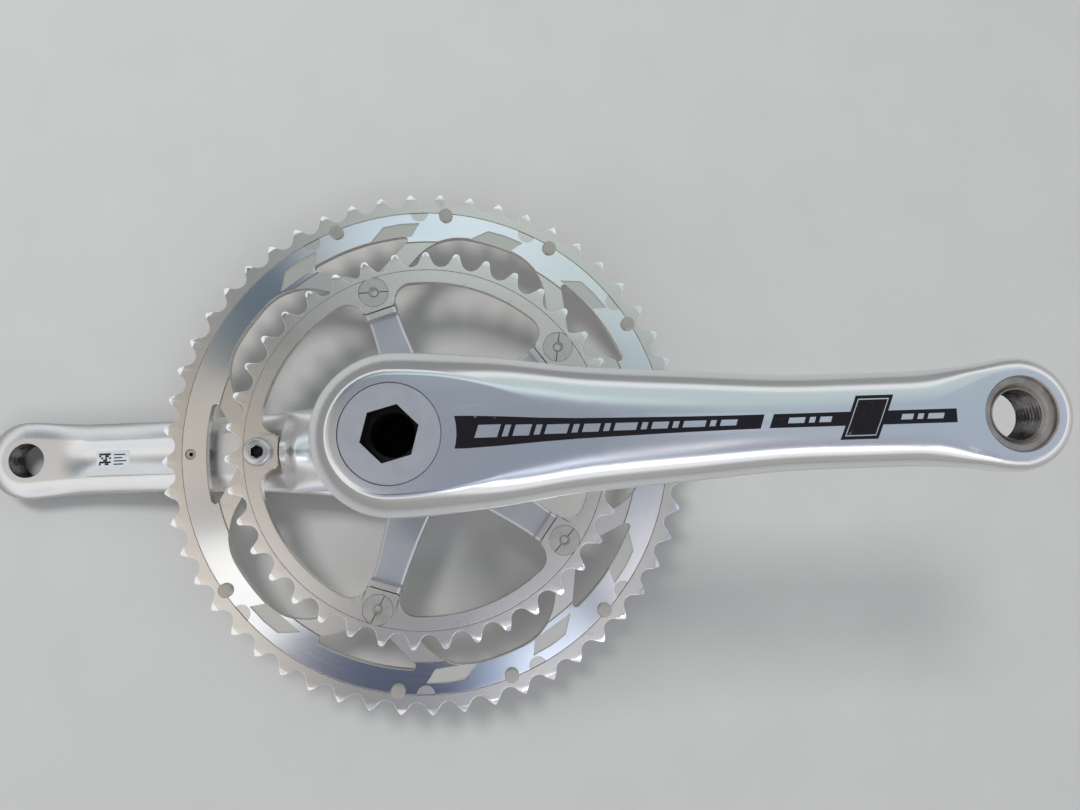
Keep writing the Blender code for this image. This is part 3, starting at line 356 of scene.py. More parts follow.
NUT = plated("nut_alloy", (0.60, 0.56, 0.50), (0.73, 0.685, 0.615), 0.26, 0.34)
WORN = plated("worn_alloy", (0.84, 0.86, 0.89), (0.93, 0.94, 0.96), 0.10, 0.18)
# The forging's flat inner faces, blasted and anodised
SPIDER = mottled(
    "spider_alloy", 1.0, (45, 4), (0.60, 0.605, 0.62), (0.70, 0.70, 0.71), (0.30, 0.38),
    grain=(2600, 2), bump=(0.006, 0.5), coat=0.1, coat_roughness=0.3,
)
# The pockets that guide the chain, blasted matt
MATT = mottled(
    "ring_matt", 1.0, (2400, 2), (0.68, 0.65, 0.59), (0.76, 0.73, 0.66), (0.36, 0.46),
    spread=(0.2, 0.8), bump=(0.006, 0.5),
)
# Cut metal, darkened as painted shade inside the pedal threads and their chamfers and in the rings' step
# grooves
CUT_METAL_SHADE = mottled(
    "cut_metal_painted_shade", 1.0, (420, 5, 0.6), (0.13, 0.12, 0.12), (0.32, 0.31, 0.31), (0.25, 0.4),
    contrast=(0.35, 0.7), bump=(0.02, 0.4),
)
# Near-black paint for sockets, slots, the drop pin's dimple and the fixing bolt's hollow: painted shade
# inside these recesses
PAINTED_SHADE = mottled(
    "recess_painted_shade", 0.0, (300,), (0.006, 0.006, 0.006), (0.018, 0.017, 0.016), (0.55, 0.8), specular=0.1
)
RUBBER = mottled(
    "rubber", 0.0, (350, 4), (0.012, 0.012, 0.012), (0.035, 0.034, 0.033), (0.55, 0.75), bump=(0.03, 0.5)
)
NYLON = mottled("nylon", 0.0, (500,), (0.02, 0.02, 0.021), (0.05, 0.05, 0.052), (0.4, 0.5))
PAPER = mottled("paper_label", 0.0, (900, 4), (0.44, 0.47, 0.50), (0.54, 0.57, 0.60), (0.45, 0.6))
PAINT = mottled("floor_paint", 0.0, (30, 4), (0.43, 0.43, 0.425), (0.47, 0.47, 0.465), (0.7, 0.7))


# ---------------------------------------------------------------- mesh tools

CORNER_STEPS = 5
MERGE = 1e-6
SHARP_EDGE = radians(25)


def finished(name, shape, material, location=(0, 0, 0), angle=0):
    """A scene object from a bmesh, shaded smooth over its round faces."""
    mesh = bpy.data.meshes.new(name)
    shape.to_mesh(mesh)
    shape.free()
    mesh.materials.append(material)
    shade(mesh)
    obj = bpy.data.objects.new(name, mesh)
    obj.location = location
    obj.rotation_euler.z = angle
    bpy.context.scene.collection.objects.link(obj)
    return obj


def shade(mesh):
    mesh.shade_smooth()
    mesh.set_sharp_from_angle(angle=SHARP_EDGE)


def evaluated_mesh(obj):
    bpy.context.view_layer.update()
    graph = bpy.context.evaluated_depsgraph_get()
    return bpy.data.meshes.new_from_object(obj.evaluated_get(graph))


def apply_modifiers(obj):
    mesh = evaluated_mesh(obj)
    shade(mesh)
    obj.modifiers.clear()
    obj.data = mesh
    return obj


def combine(obj, operation, others):
    """Cuts or joins other shapes, keeps their materials, and leaves one plain mesh."""
    for other in others:
        modifier = obj.modifiers.new("combine", "BOOLEAN")
        modifier.operation = operation
        modifier.solver = "EXACT"
        modifier.material_mode = "TRANSFER"
        modifier.object = other
    apply_modifiers(obj)
    for other in others:
        bpy.data.objects.remove(other)
    return obj


def cut(obj, *others):
    return combine(obj, "DIFFERENCE", others)


def join(obj, *others):
    return combine(obj, "UNION", others)


def bent(start, corner, end, steps):
    """Points on the small curve that replaces a corner, both ends included."""
    shares = [step / steps for step in range(steps + 1)]
    return [tuple((1 - t) ** 2 * start + 2 * t * (1 - t) * corner + t * t * end) for t in shares]


def rounded(points, radius, closed=True):
    """The outline with its corners turned into small curves."""
    result = []
    count = len(points)
    for index, corner in enumerate(points):
        here = Vector(corner)
        before = Vector(points[index - 1]) - here
        after = Vector(points[(index + 1) % count]) - here
        loose_end = not closed and index in (0, count - 1)
        if loose_end or before.angle(-after, 0) < radians(12):
            result.append(tuple(here))
            continue
        start = here + before.normalized() * min(radius, 0.45 * before.length)
        end = here + after.normalized() * min(radius, 0.45 * after.length)
        result += bent(start, here, end, CORNER_STEPS)
    return result


def turned(name, profile, material, location=(0, 0, 0), steps=96, closed=False, soft=0.0):
    """A solid of revolution about Z from (radius, height) points."""
    if soft:
        profile = rounded(profile, soft, closed)
    shape = bmesh.new()
    verts = [shape.verts.new((radius, 0, height)) for radius, height in profile]
    edges = [shape.edges.new(pair) for pair in zip(verts, verts[1:])]
    if closed:
        edges.append(shape.edges.new((verts[-1], verts[0])))
    bmesh.ops.spin(shape, geom=verts + edges, axis=(0, 0, 1), cent=(0, 0, 0), angle=TURN, steps=steps)
    bmesh.ops.remove_doubles(shape, verts=shape.verts, dist=MERGE)
    bmesh.ops.recalc_face_normals(shape, faces=shape.faces)
    return finished(name, shape, material, location)


def washer(name, inner, outer, low, high, material, location=(0, 0, 0), soft=0.1 * MM):
    profile = [(outer, high), (outer, low), (inner, low), (inner, high)]
    return turned(name, profile, material, location, closed=True, soft=soft)


def cylinder(name, radius, low, high, material, location=(0, 0, 0), sides=64, angle=0):
    shape = bmesh.new()
    bmesh.ops.create_cone(
        shape, cap_ends=True, segments=sides, radius1=radius, radius2=radius, depth=high - low
    )
    bmesh.ops.translate(shape, verts=shape.verts, vec=(0, 0, (high + low) / 2))
    return finished(name, shape, material, location, angle)


def hexagon(name, across_flats, low, high, location=(0, 0, 0), angle=0):
    # The socket's walls take the near-black paint: painted shade inside the hexagon.
    return cylinder(name, across_flats / sqrt(3), low, high, PAINTED_SHADE, location, 6, angle)


def filled(name, loops, thickness=0.0, bevel=0.0):
    """A bmesh of a flat outline with inner loops as holes, given a thickness and rounded edges."""
    outline = bpy.data.curves.new(name, "CURVE")
    outline.dimensions = "2D"
    outline.fill_mode = "BOTH"
    outline.extrude = thickness / 2 - bevel
    outline.bevel_depth = bevel
    outline.bevel_resolution = 3
    outline.offset = -bevel
    for loop in loops:
        spline = outline.splines.new("POLY")
        spline.points.add(len(loop) - 1)
        for point, (x, y) in zip(spline.points, loop):
            point.co = (x, y, 0, 1)
        spline.use_cyclic_u = True
    flat = bpy.data.objects.new(name, outline)
    bpy.context.scene.collection.objects.link(flat)
    shape = bmesh.new()
    shape.from_mesh(evaluated_mesh(flat))
    bpy.data.objects.remove(flat)
    return shape


def plate(name, loops, low, high, material, bevel=0.0, location=(0, 0, 0), angle=0):
    shape = filled(name, loops, high - low, bevel)
    bmesh.ops.translate(shape, verts=shape.verts, vec=(0, 0, (high + low) / 2))
    bmesh.ops.remove_doubles(shape, verts=shape.verts, dist=MERGE)
    bmesh.ops.recalc_face_normals(shape, faces=shape.faces)
    return finished(name, shape, material, location, angle)


def skinned(sections, ends):
    """A bmesh through closed sections, its ends closed by faces, left open or joined to each other."""
    shape = bmesh.new()
    rows = [[shape.verts.new(corner) for corner in section] for section in sections]
    following = rows[1:] + (rows[:1] if ends == "joined" else [])
    for first, second in zip(rows, following):
        for index in range(len(first)):
            after = (index + 1) % len(first)
            shape.faces.new((first[index], first[after], second[after], second[index]))
    if ends == "closed":
        shape.faces.new(rows[0])
        shape.faces.new(rows[-1])
    return shape


def loft(name, sections, material, location=(0, 0, 0), angle=0, ends="closed"):
    shape = skinned(sections, ends)
    bmesh.ops.remove_doubles(shape, verts=shape.verts, dist=MERGE)
    bmesh.ops.triangulate(shape, faces=shape.faces)
    bmesh.ops.recalc_face_normals(shape, faces=shape.faces)
    return finished(name, shape, material, location, angle)


def repaint(obj, material, chosen):
    """Gives another material to the faces that the test picks by their centre and normal."""
    mesh = obj.data
    if material.name not in mesh.materials:
        mesh.materials.append(material)
    index = list(mesh.materials).index(material)
    for face in mesh.polygons:
        if chosen(face.center, face.normal):
            face.material_index = index


def stands_for(obj, node, body="crankset", flatness=100):
    """Puts a piece on its body in place of a CAD node, its flat faces shaded flat to their edges."""
    flat_faces = obj.modifiers.new("flat_faces", "WEIGHTED_NORMAL")
    flat_faces.keep_sharp = True
    flat_faces.weight = flatness
    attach(obj, body)
    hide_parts(node)
    return obj


# ---------------------------------------------------------------- outline tools

def polar(radius, angle):
    return (radius * cos(angle), radius * sin(angle))


def spot(radius, angle):
    return (*polar(radius, angle), 0)


def arc(centre, radius, start, end, steps):
    """Points on an arc, both ends included."""
    points = []
    for step in range(steps + 1):
        x, y = polar(radius, start + (end - start) * step / steps)
        points.append((centre[0] + x, centre[1] + y))
    return points


def circle(radius, steps):
    return arc((0, 0), radius, 0, TURN * (steps - 1) / steps, steps - 1)


def box_loop(left, low, right, high):
    return [(left, low), (right, low), (right, high), (left, high)]


def at_fixing(points, angle):
    """(tangential, radial) points, turned to an angle round the spindle's axis."""
    return [
        (out * cos(angle) - across * sin(angle), out * sin(angle) + across * cos(angle))
        for across, out in points
    ]


def around_fixings(half):
    """A closed loop from half of one sector, given as (tangential, radial) points off the fixing's line."""
    sector = [(-across, out) for across, out in reversed(half)] + half
    return [point for angle in FIXING_ANGLES for point in at_fixing(sector, angle)]


def off_fixing(radius, angle):
    """The (tangential, radial) point at an angle off a fixing's line."""
    return (radius * sin(angle), radius * cos(angle))


def half_band(radius, start_angle, steps):
    """Points of a band, from an angle off the fixing's line to half a sector."""
    sweep = TURN / len(FIXING_ANGLES) / 2 - start_angle
    return [off_fixing(radius, start_angle + sweep * step / steps) for step in range(1, steps)]


def along(keys, x):
    """A smooth curve through (position, value) keys, flat at both ends."""
    if x <= keys[0][0]:
        return keys[0][1]
    if x >= keys[-1][0]:
        return keys[-1][1]
    slopes = [0.0]
    for before, here, after in zip(keys, keys[1:], keys[2:]):
        rise_before = (here[1] - before[1]) / (here[0] - before[0])
        rise_after = (after[1] - here[1]) / (after[0] - here[0])
        same_way = rise_before * rise_after > 0
        slopes.append(2 * rise_before * rise_after / (rise_before + rise_after) if same_way else 0.0)
    slopes.append(0.0)
    index = max(i for i, key in enumerate(keys) if key[0] <= x)
    (x0, y0), (x1, y1) = keys[index], keys[index + 1]
    width = x1 - x0
    t = (x - x0) / width
    return (
        y0 * (1 + 2 * t) * (1 - t) ** 2
        + slopes[index] * width * t * (1 - t) ** 2
        + y1 * t * t * (3 - 2 * t)
        + slopes[index + 1] * width * t * t * (t - 1)
    )


FIFTH_FIXING = spot(BOLT_CIRCLE_RADIUS, FIXING_ANGLES[ARM_FIXING])
DROP_PIN_PLACE = spot(DROP_PIN_CIRCLE_RADIUS, FIXING_ANGLES[ARM_FIXING])


# ---------------------------------------------------------------- chainrings

def tooth_loop(teeth, tip_radius, tip_half_width, phase):
    """A sprocket's outline: round roller seats joined by straight flanks to rounded tips."""
    pitch_radius = CHAIN_PITCH / 2 / sin(pi / teeth)
    step = TURN / teeth
    loop = []
    for tooth in range(teeth):
        tip = phase + tooth * step
        lean = tip_half_width / tip_radius
        for share, drop in ((-1, 0.55), (-0.55, 0.14), (0, 0), (0.55, 0.14), (1, 0.55)):
            loop.append(polar(tip_radius - drop * MM, tip + lean * share))
        seat = tip + step / 2
        centre = polar(pitch_radius, seat)
        for spread in range(-66, 67, 12):
            x, y = polar(SEAT_RADIUS, seat + pi - radians(spread))
            loop.append((centre[0] + x, centre[1] + y))
    return loop


def toothed_band(name, teeth, tip_radius, tip_half_width, phase, inner_radius, middle_z, chamfer):
    """The teeth of one ring, their edges rounded and their tips turned to a chamfer on both faces."""
    low = middle_z - TOOTH_THICKNESS / 2
    high = middle_z + TOOTH_THICKNESS / 2
    outline = tooth_loop(teeth, tip_radius, tip_half_width, phase)
    band = plate(name, [outline, circle(inner_radius, 120)], low, high, SATIN, bevel=TOOTH_BEVEL)
    rim = tip_radius + 0.3 * MM
    spare = 0.5 * MM
    foot = tip_radius - chamfer * (1 + spare / TIP_DROP)
    blank = [
        (0, high + spare), (foot, high + spare), (rim, high - TIP_DROP), (rim, low + TIP_DROP),
        (foot, low - spare), (0, low - spare),
    ]
    return combine(band, "INTERSECT", [turned(name + "_blank", blank, SATIN, steps=180)])


def step_groove(name, radius, face_z):
    """The groove left by the turning tool at the foot of a step, its walls darkened as painted shade."""
    low = face_z - STEP_GROOVE
    return washer(name, radius, radius + STEP_GROOVE, low, face_z + 0.1 * MM, CUT_METAL_SHADE, soft=0)


def small_ring_inside():
    centre_radius = SMALL_INNER_RADIUS - TAB_FILLET
    centre_across = TAB_HALF_WIDTH + TAB_FILLET
    centre_out = sqrt(centre_radius**2 - centre_across**2)
    meet = atan2(centre_across, centre_out)
    half = [(TAB_HALF_WIDTH - 0.8 * MM, TAB_INNER_RADIUS), (TAB_HALF_WIDTH, TAB_INNER_RADIUS + 0.8 * MM)]
    half += arc((centre_across, centre_out), TAB_FILLET, pi, pi / 2 - meet, 14)
    return half + half_band(SMALL_INNER_RADIUS, meet, 14)


def big_ring_inside():
    centre = off_fixing(BIG_INNER_RADIUS - BRANCH_FILLET, BRANCH_ANGLE)
    branch = arc(centre, BRANCH_FILLET, pi / 2 + BRANCH_ANGLE, pi / 2 - BRANCH_ANGLE, 18)
    elbow = branch[0][1] - (branch[0][0] - TAB_HALF_WIDTH) * tan(BRANCH_ANGLE)
    half = [(TAB_HALF_WIDTH, TAB_INNER_RADIUS), (TAB_HALF_WIDTH, elbow)] + branch
    return half + half_band(BIG_INNER_RADIUS, BRANCH_ANGLE, 6)


def triangle_window():
    """The pointed window outside a fixing, as (tangential, radial) points of a closed loop."""
    fillet = WINDOW_END_FILLET
    centre_radius = BIG_INNER_RADIUS - fillet
    sine = sin(WINDOW_SLOPE)
    cosine = cos(WINDOW_SLOPE)
    base = WINDOW_APEX_RADIUS * cosine + fillet
    across = cosine * sqrt(centre_radius**2 - base**2) - sine * base
    out = sqrt(centre_radius**2 - across**2)
    radial = atan2(out, across)
    apex = (0, WINDOW_APEX_RADIUS + WINDOW_APEX_FILLET / cosine)
    half = arc(apex, WINDOW_APEX_FILLET, -pi / 2, -pi / 2 + WINDOW_SLOPE, 5)
    half += arc((across, out), fillet, -pi / 2 + WINDOW_SLOPE, radial, 8)
    lean = pi / 2 - radial
    half += [off_fixing(BIG_INNER_RADIUS, lean * share) for share in (0.8, 0.6, 0.4, 0.2)]
    return half + [(0, BIG_INNER_RADIUS)] + [(-x, y) for x, y in reversed(half[1:])]


def fixing_cutters(name, seat_z, open_end_z):
    """A plain hole at the fifth fixing, and at the others a hole with a wider seat on one side."""
    cutters = [cylinder(name + "_arm_cut", FIXING_HOLE_RADIUS, BELOW, ABOVE, SATIN, FIFTH_FIXING, 48)]
    outer = NUT_FLANGE_RADIUS + GAP / 2
    profile = [(0, ABOVE), (FIXING_HOLE_RADIUS, ABOVE), (FIXING_HOLE_RADIUS, BELOW), (0, BELOW)]
    if open_end_z > seat_z:
        profile[:2] = [(0, ABOVE), (outer, ABOVE), (outer, seat_z), (FIXING_HOLE_RADIUS, seat_z)]
    else:
        profile[2:] = [(FIXING_HOLE_RADIUS, seat_z), (outer, seat_z), (outer, BELOW), (0, BELOW)]
    for index, angle in OTHER_FIXINGS:
        cutters.append(turned(f"{name}_cut_{index}", profile, SATIN, spot(BOLT_CIRCLE_RADIUS, angle), 48))
    return cutters


def wear_teeth(ring, root_radius):
    """The chain has rubbed the teeth's bevelled edges and tips bright."""
    def rubbed(centre, normal):
        return centre.xy.length > root_radius and 0.25 < abs(normal.z) < 0.985

    repaint(ring, WORN, rubbed)


def small_ring():
    loops = [circle(SMALL_STEP_RADIUS, 180), around_fixings(small_ring_inside())]
    ring = plate("small_ring", loops, SMALL_BACK_Z, SMALL_FACE_Z, SATIN, RING_BEVEL)
    join(ring, toothed_band(
        "small_teeth", SMALL_TEETH, SMALL_TIP_RADIUS, 1.1 * MM, SMALL_TOOTH_PHASE, 70.0 * MM,
        SMALL_TOOTH_Z, 2.2 * MM,
    ))
    cutters = fixing_cutters("small_fixing", SMALL_FACE_Z - NUT_FLANGE - GAP, ABOVE)
    groove = step_groove("small_groove", SMALL_STEP_RADIUS, SMALL_TOOTH_Z + TOOTH_THICKNESS / 2)
    cut(ring, cutters[0], groove, *cutters[1:])
    wear_teeth(ring, SMALL_STEP_RADIUS + 1 * MM)
    stands_for(ring, "small_chainring")


def shift_ramp(angle):
    """The slanted pocket beside a pin that lifts the chain, as points round the spindle's axis."""
    corners = [(6.5, 95.7), (8.8, 90.0), (20.3, 90.0), (15.9, 95.6), (11.5, 95.9)]
    return rounded([polar(radius * MM, angle + radians(turn)) for turn, radius in corners], 0.5 * MM)


def big_ring():
    windows = [at_fixing(triangle_window(), angle) for angle in FIXING_ANGLES]
    loops = [circle(BIG_STEP_RADIUS, 240), around_fixings(big_ring_inside())] + windows
    ring = plate("big_ring", loops, BIG_BACK_Z, BIG_FACE_Z, SATIN, RING_BEVEL)
    join(ring, toothed_band(
        "big_teeth", BIG_TEETH, BIG_TIP_RADIUS, 0.8 * MM, BIG_TOOTH_PHASE, 95.0 * MM,
        BIG_TOOTH_Z, 2.4 * MM,
    ))
    step_top = BIG_WEB_RADIUS + 0.4 * MM
    step = [
        (0, ABOVE), (step_top, ABOVE), (step_top, BIG_FACE_Z), (BIG_WEB_RADIUS, BIG_WEB_Z), (0, BIG_WEB_Z),
    ]
    tooth_face = BIG_TOOTH_Z + TOOTH_THICKNESS / 2
    cutters = [turned("big_web_cut", step, SATIN, steps=240)]
    cutters.append(step_groove("big_groove", BIG_STEP_RADIUS, tooth_face))
    ramp_floor = BIG_FACE_Z - 0.55 * MM
    for index, angle in enumerate(PIN_ANGLES):
        place = spot(BIG_STEP_RADIUS, angle + radians(6.5))
        cutters.append(cylinder(f"scallop_{index}", 3.7 * MM, tooth_face + 0.02 * MM, ABOVE, SATIN, place))
        cutters.append(plate(f"ramp_{index}", [shift_ramp(angle)], ramp_floor, ABOVE, MATT))
        place = spot(PIN_CIRCLE_RADIUS, angle)
        cutters.append(cylinder(f"pin_hole_{index}", 1.8 * MM, BELOW, ABOVE, SATIN, place, 24))
    cutters += fixing_cutters("big_fixing", BOLT_HEAD_TOP_Z + GAP, BELOW)
    cutters.append(cylinder("drop_pin_hole", 2.15 * MM, BELOW, ABOVE, SATIN, DROP_PIN_PLACE))
    cut(ring, *cutters)
    edge = BIG_STEP_RADIUS - 0.05 * MM

    def on_raised_face(centre, normal):
        radius = centre.xy.length
        return BIG_WEB_RADIUS < radius < edge and centre.z > BIG_FACE_Z - 0.01 * MM and normal.z > 0.9

    repaint(ring, TURNED, on_raised_face)
    wear_teeth(ring, BIG_STEP_RADIUS + 1 * MM)
    stands_for(ring, "big_chainring")


# ---------------------------------------------------------------- chainring fasteners and pins

def chainring_nut(number, angle):
    """A flush sleeve nut with one key slot and a small socket in its middle."""
    top = SMALL_FACE_Z - 0.05 * MM
    under = top - NUT_FLANGE
    shank_hole = 3.9 * MM
    profile = [
        (1.4 * MM, top - 1.2 * MM), (2.1 * MM, top - 0.6 * MM), (2.1 * MM, top), (NUT_FLANGE_RADIUS, top),
        (NUT_FLANGE_RADIUS, under), (4.7 * MM, under), (4.7 * MM, -47.2 * MM), (shank_hole, -47.2 * MM),
        (shank_hole, under - 0.4 * MM), (1.4 * MM, under - 0.4 * MM),
    ]
    place = spot(BOLT_CIRCLE_RADIUS, angle)
    nut = turned(f"nut_{number}", profile, NUT, place, closed=True, soft=0.12 * MM)
    slot = box_loop(-7 * MM, -0.17 * MM, 7 * MM, 0.17 * MM)
    slot_turn = radians((82, 3, 62, 48)[number - 1])
    # The slot's walls take the near-black paint: painted shade in the slot.
    cut(nut, plate(f"nut_slot_{number}", [slot], top - 0.5 * MM, ABOVE, PAINTED_SHADE, 0.0, place, slot_turn))
    stands_for(nut, f"chainring_nut_{number}")


def chainring_bolt(number, angle):
    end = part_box(f"chainring_bolt_{number}")[0].z
    shank = 3.6 * MM
    profile = [
        (0, -40.4 * MM), (shank, -40.4 * MM), (shank, BOLT_HEAD_TOP_Z), (6.0 * MM, BOLT_HEAD_TOP_Z),
        (6.0 * MM, end + 0.5 * MM), (5.2 * MM, end), (0, end),
    ]
    place = spot(BOLT_CIRCLE_RADIUS, angle)
    bolt = turned(f"bolt_{number}", profile, STEEL, place, soft=0.15 * MM)
    cone = [(0, end + 0.5 * MM), (2.5 * MM, end + 0.4 * MM), (3.3 * MM, end - 0.2 * MM), (0, end - 0.2 * MM)]
    socket = hexagon(f"bolt_socket_{number}", HEX_KEY, BELOW, end + 3.0 * MM, place)
    cut(bolt, socket, turned(f"bolt_cone_{number}", cone, STEEL, place, 48))
    stands_for(bolt, f"chainring_bolt_{number}")


def fifth_bolt():
    """The bolt of the fifth fixing, its button head proud of the small ring."""
    top = ARM_BOLT_TOP_Z
    under = SMALL_FACE_Z + 0.02 * MM
    profile = [
        (0, top), (3.6 * MM, top), (5.0 * MM, top - 0.25 * MM), (5.8 * MM, top - 1.0 * MM),
        (6.0 * MM, under), (3.7 * MM, under), (3.7 * MM, -58.0 * MM), (0, -58.0 * MM),
    ]
    bolt = turned("fifth_bolt", profile, STEEL, FIFTH_FIXING, soft=0.35 * MM)
    cone = [
        (0, top + 1 * MM), (3.3 * MM, top + 1 * MM), (2.9 * MM, top - 0.2 * MM), (2.3 * MM, top - 0.7 * MM),
        (0, top - 0.7 * MM),
    ]
    socket = hexagon("fifth_socket", 4.6 * MM, top - 3.0 * MM, ABOVE, FIFTH_FIXING)
    cut(bolt, turned("fifth_cone", cone, STEEL, FIFTH_FIXING, 48), socket)
    stands_for(bolt, "arm_bolt")


def shift_pin(number, angle):
    radius = 2.9 * MM
    under = BIG_FACE_Z + 0.02 * MM
    profile = [
        (0, PIN_TOP_Z), (radius - 0.45 * MM, PIN_TOP_Z), (radius, PIN_TOP_Z - 0.35 * MM), (radius, under),
        (1.5 * MM, under), (1.5 * MM, BIG_BACK_Z + 0.1 * MM), (0, BIG_BACK_Z + 0.1 * MM),
    ]
    pin = turned(f"pin_{number}", profile, PIN, spot(PIN_CIRCLE_RADIUS, angle), 48, soft=0.2 * MM)
    stands_for(pin, f"shift_pin_{number}")


def drop_pin():
    low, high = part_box("chain_drop_pin")
    neck = BIG_BACK_Z - GAP
    profile = [
        (0, high.z - 0.3 * MM), (1.1 * MM, high.z - 0.3 * MM), (1.4 * MM, high.z), (2.0 * MM, high.z),
        (2.0 * MM, neck), (3.0 * MM, neck), (3.0 * MM, low.z + 0.6 * MM), (2.4 * MM, low.z), (0, low.z),
    ]
    pin = turned("drop_pin", profile, PIN, DROP_PIN_PLACE, 48, soft=0.15 * MM)
    # The dimple's walls take the near-black paint: painted shade in the dimple.
    cut(pin, cylinder("drop_pin_dimple", 0.8 * MM, high.z - 1.5 * MM, ABOVE, PAINTED_SHADE, DROP_PIN_PLACE, 24))
    stands_for(pin, "chain_drop_pin")


# ---------------------------------------------------------------- crank arms

CREST_POWER = 2.5
RIDGE_ANGLE = radians(58)
RIDGE_ROUNDING = 0.8 * MM
RELIEF_DEPTH = 2.2 * MM
RELIEF_HALF_WIDTH = 9.2 * MM
RELIEF_RAMP = 16 * MM

# Each key is (distance from the spindle's axis, value), in millimetres, with heights from the bicycle's
# middle. The ridge is 1 where the flat top meets the flank in a crease, and the crown is how far the top
# falls sideways. The heel's rounding is how far it reaches in and up, and its power: 2 is round, 1 a slope.
LEFT_ARM = {
    "half_width": [
        (0, 22.8), (25, 21.2), (50, 17.9), (80, 15.6), (115, 13.4), (140, 13.3), (158, 14.1), (170.5, 15.8),
    ],
    "crest": [
        (0, 67.5), (18, 67.5), (60, 68.3), (100, 69.8), (140, 71.6), (153, 72.0), (160, 72.7), (165, 72.75),
    ],
    "base": [(0, 48.0), (25, 49.5), (50, 52.5), (80, 55.5), (115, 58.0), (150, 59.7), (165, 60.0)],
    "edge": [(0, 6.4), (12, 6.6), (55, 12.5), (115, 10.5), (145, 10.0), (163, 4.5)],
    "shoulder": [(0, 9.0), (60, 10.5), (145, 9.0), (163, 5.0)],
    "ridge": [(0, 1), (10, 1), (48, 0)],
    "crown": [(0, 0), (50, 0), (80, 0.06), (140, 0.06), (156, 0)],
    "heel": (3.0, 2.2, 2.0),
    "relief": (52, 154),
}
DRIVE_ARM = {
    "half_width": [
        (0, 23.5), (25, 21.5), (50, 18.0), (68, 16.4), (90, 15.5), (107, 14.8), (142, 14.8), (157, 15.4),
        (170.5, 16.3),
    ],
    "crest": [(0, 66.5), (18, 66.5), (60, 67.5), (100, 69.3), (140, 71.6), (160, 72.6), (165, 72.75)],
    "base": [(0, 50.6), (60, 51.4), (90, 52.6), (112, 54.6), (140, 58.0), (158, 59.8), (165, 59.9)],
    "edge": [(0, 7.0), (15, 7.5), (55, 13.5), (115, 12.0), (145, 11.0), (163, 4.5)],
    "shoulder": [(0, 8.5), (60, 10.5), (145, 9.0), (163, 5.0)],
    "ridge": [(0, 0.6), (48, 0)],
    "crown": LEFT_ARM["crown"],
    "heel": (7.0, 2.4, 1.4),
    "relief": (90, 158),
}
HALF_TURN = Matrix.Rotation(pi, 4, "Y")


def arm_value(arm, name, x):
    return along(arm[name], x / MM) * MM


def arm_stations(arm):
    """Half of the arm's plan outline, from behind the hub to the pedal end, as (point, way out)."""
    end_steps = 28
    body_steps = 110
    stations = []
    for step in range(end_steps):
        out = Vector(polar(1, pi - pi / 2 * step / end_steps))
        stations.append((out * arm_value(arm, "half_width", 0), out))
    for step in range(body_steps + 1):
        x = PEDAL_END_CENTRE * step / body_steps
        rise = (arm_value(arm, "half_width", x + MM) - arm_value(arm, "half_width", x - MM)) / (2 * MM)
        stations.append((Vector((x, arm_value(arm, "half_width", x))), Vector((-rise, 1)).normalized()))
    pedal = arm_value(arm, "half_width", PEDAL_END_CENTRE)
    for step in range(1, end_steps + 1):
        out = Vector(polar(1, pi / 2 * (1 - step / end_steps)))
        stations.append((Vector((PEDAL_END_CENTRE, 0)) + out * pedal, out))
    return stations


def relief_at(arm, x, y):
    """Depth of the shallow channel along the arm's flat side."""
    start, end = (limit * MM for limit in arm["relief"])
    lengthwise = max(0, min(1, (x - start) / RELIEF_RAMP, (end - x) / RELIEF_RAMP))
    lengthwise = lengthwise * lengthwise * (3 - 2 * lengthwise)
    sideways = max(0, 1 - (y / RELIEF_HALF_WIDTH) ** 2) ** 2
    return RELIEF_DEPTH * lengthwise * sideways


def flank_points(arm, place):
    """(inset, height) from the heel up over the flank to the edge of the top face."""
    base = arm_value(arm, "base", place)
    top = arm_value(arm, "crest", place) - arm_value(arm, "crown", place)
    edge = min(arm_value(arm, "edge", place), 0.85 * arm_value(arm, "half_width", place))
    shoulder = top - arm_value(arm, "shoulder", place)
    ridge = along(arm["ridge"], place / MM)
    heel_in, heel_up, power = arm["heel"]
    points = []
    steps = 12
    for step in range(steps + 1):
        angle = pi / 2 * step / steps
        inset = heel_in * (1 - sin(angle) ** (2 / power))
        points.append((inset * MM, base + heel_up * (1 - cos(angle) ** (2 / power)) * MM))
    steps = 16
    for step in range(steps + 1):
        angle = pi / 2 * step / steps
        smooth = Vector((
            edge * (1 - cos(angle) ** (2 / CREST_POWER)),
            shoulder + (top - shoulder) * sin(angle) ** (2 / CREST_POWER),
        ))
        lean = RIDGE_ANGLE * step / steps
        creased = Vector((
            edge * (1 - cos(lean)) / (1 - cos(RIDGE_ANGLE)),
            shoulder + (top - shoulder) * sin(lean) / sin(RIDGE_ANGLE),
        ))
        points.append(tuple(smooth.lerp(creased, ridge)))
    corner = Vector(points.pop())
    start = corner + (Vector(points[-1]) - corner).normalized() * RIDGE_ROUNDING
    end = corner + Vector((RIDGE_ROUNDING, 0))
    return points + bent(start, corner, end, 4)


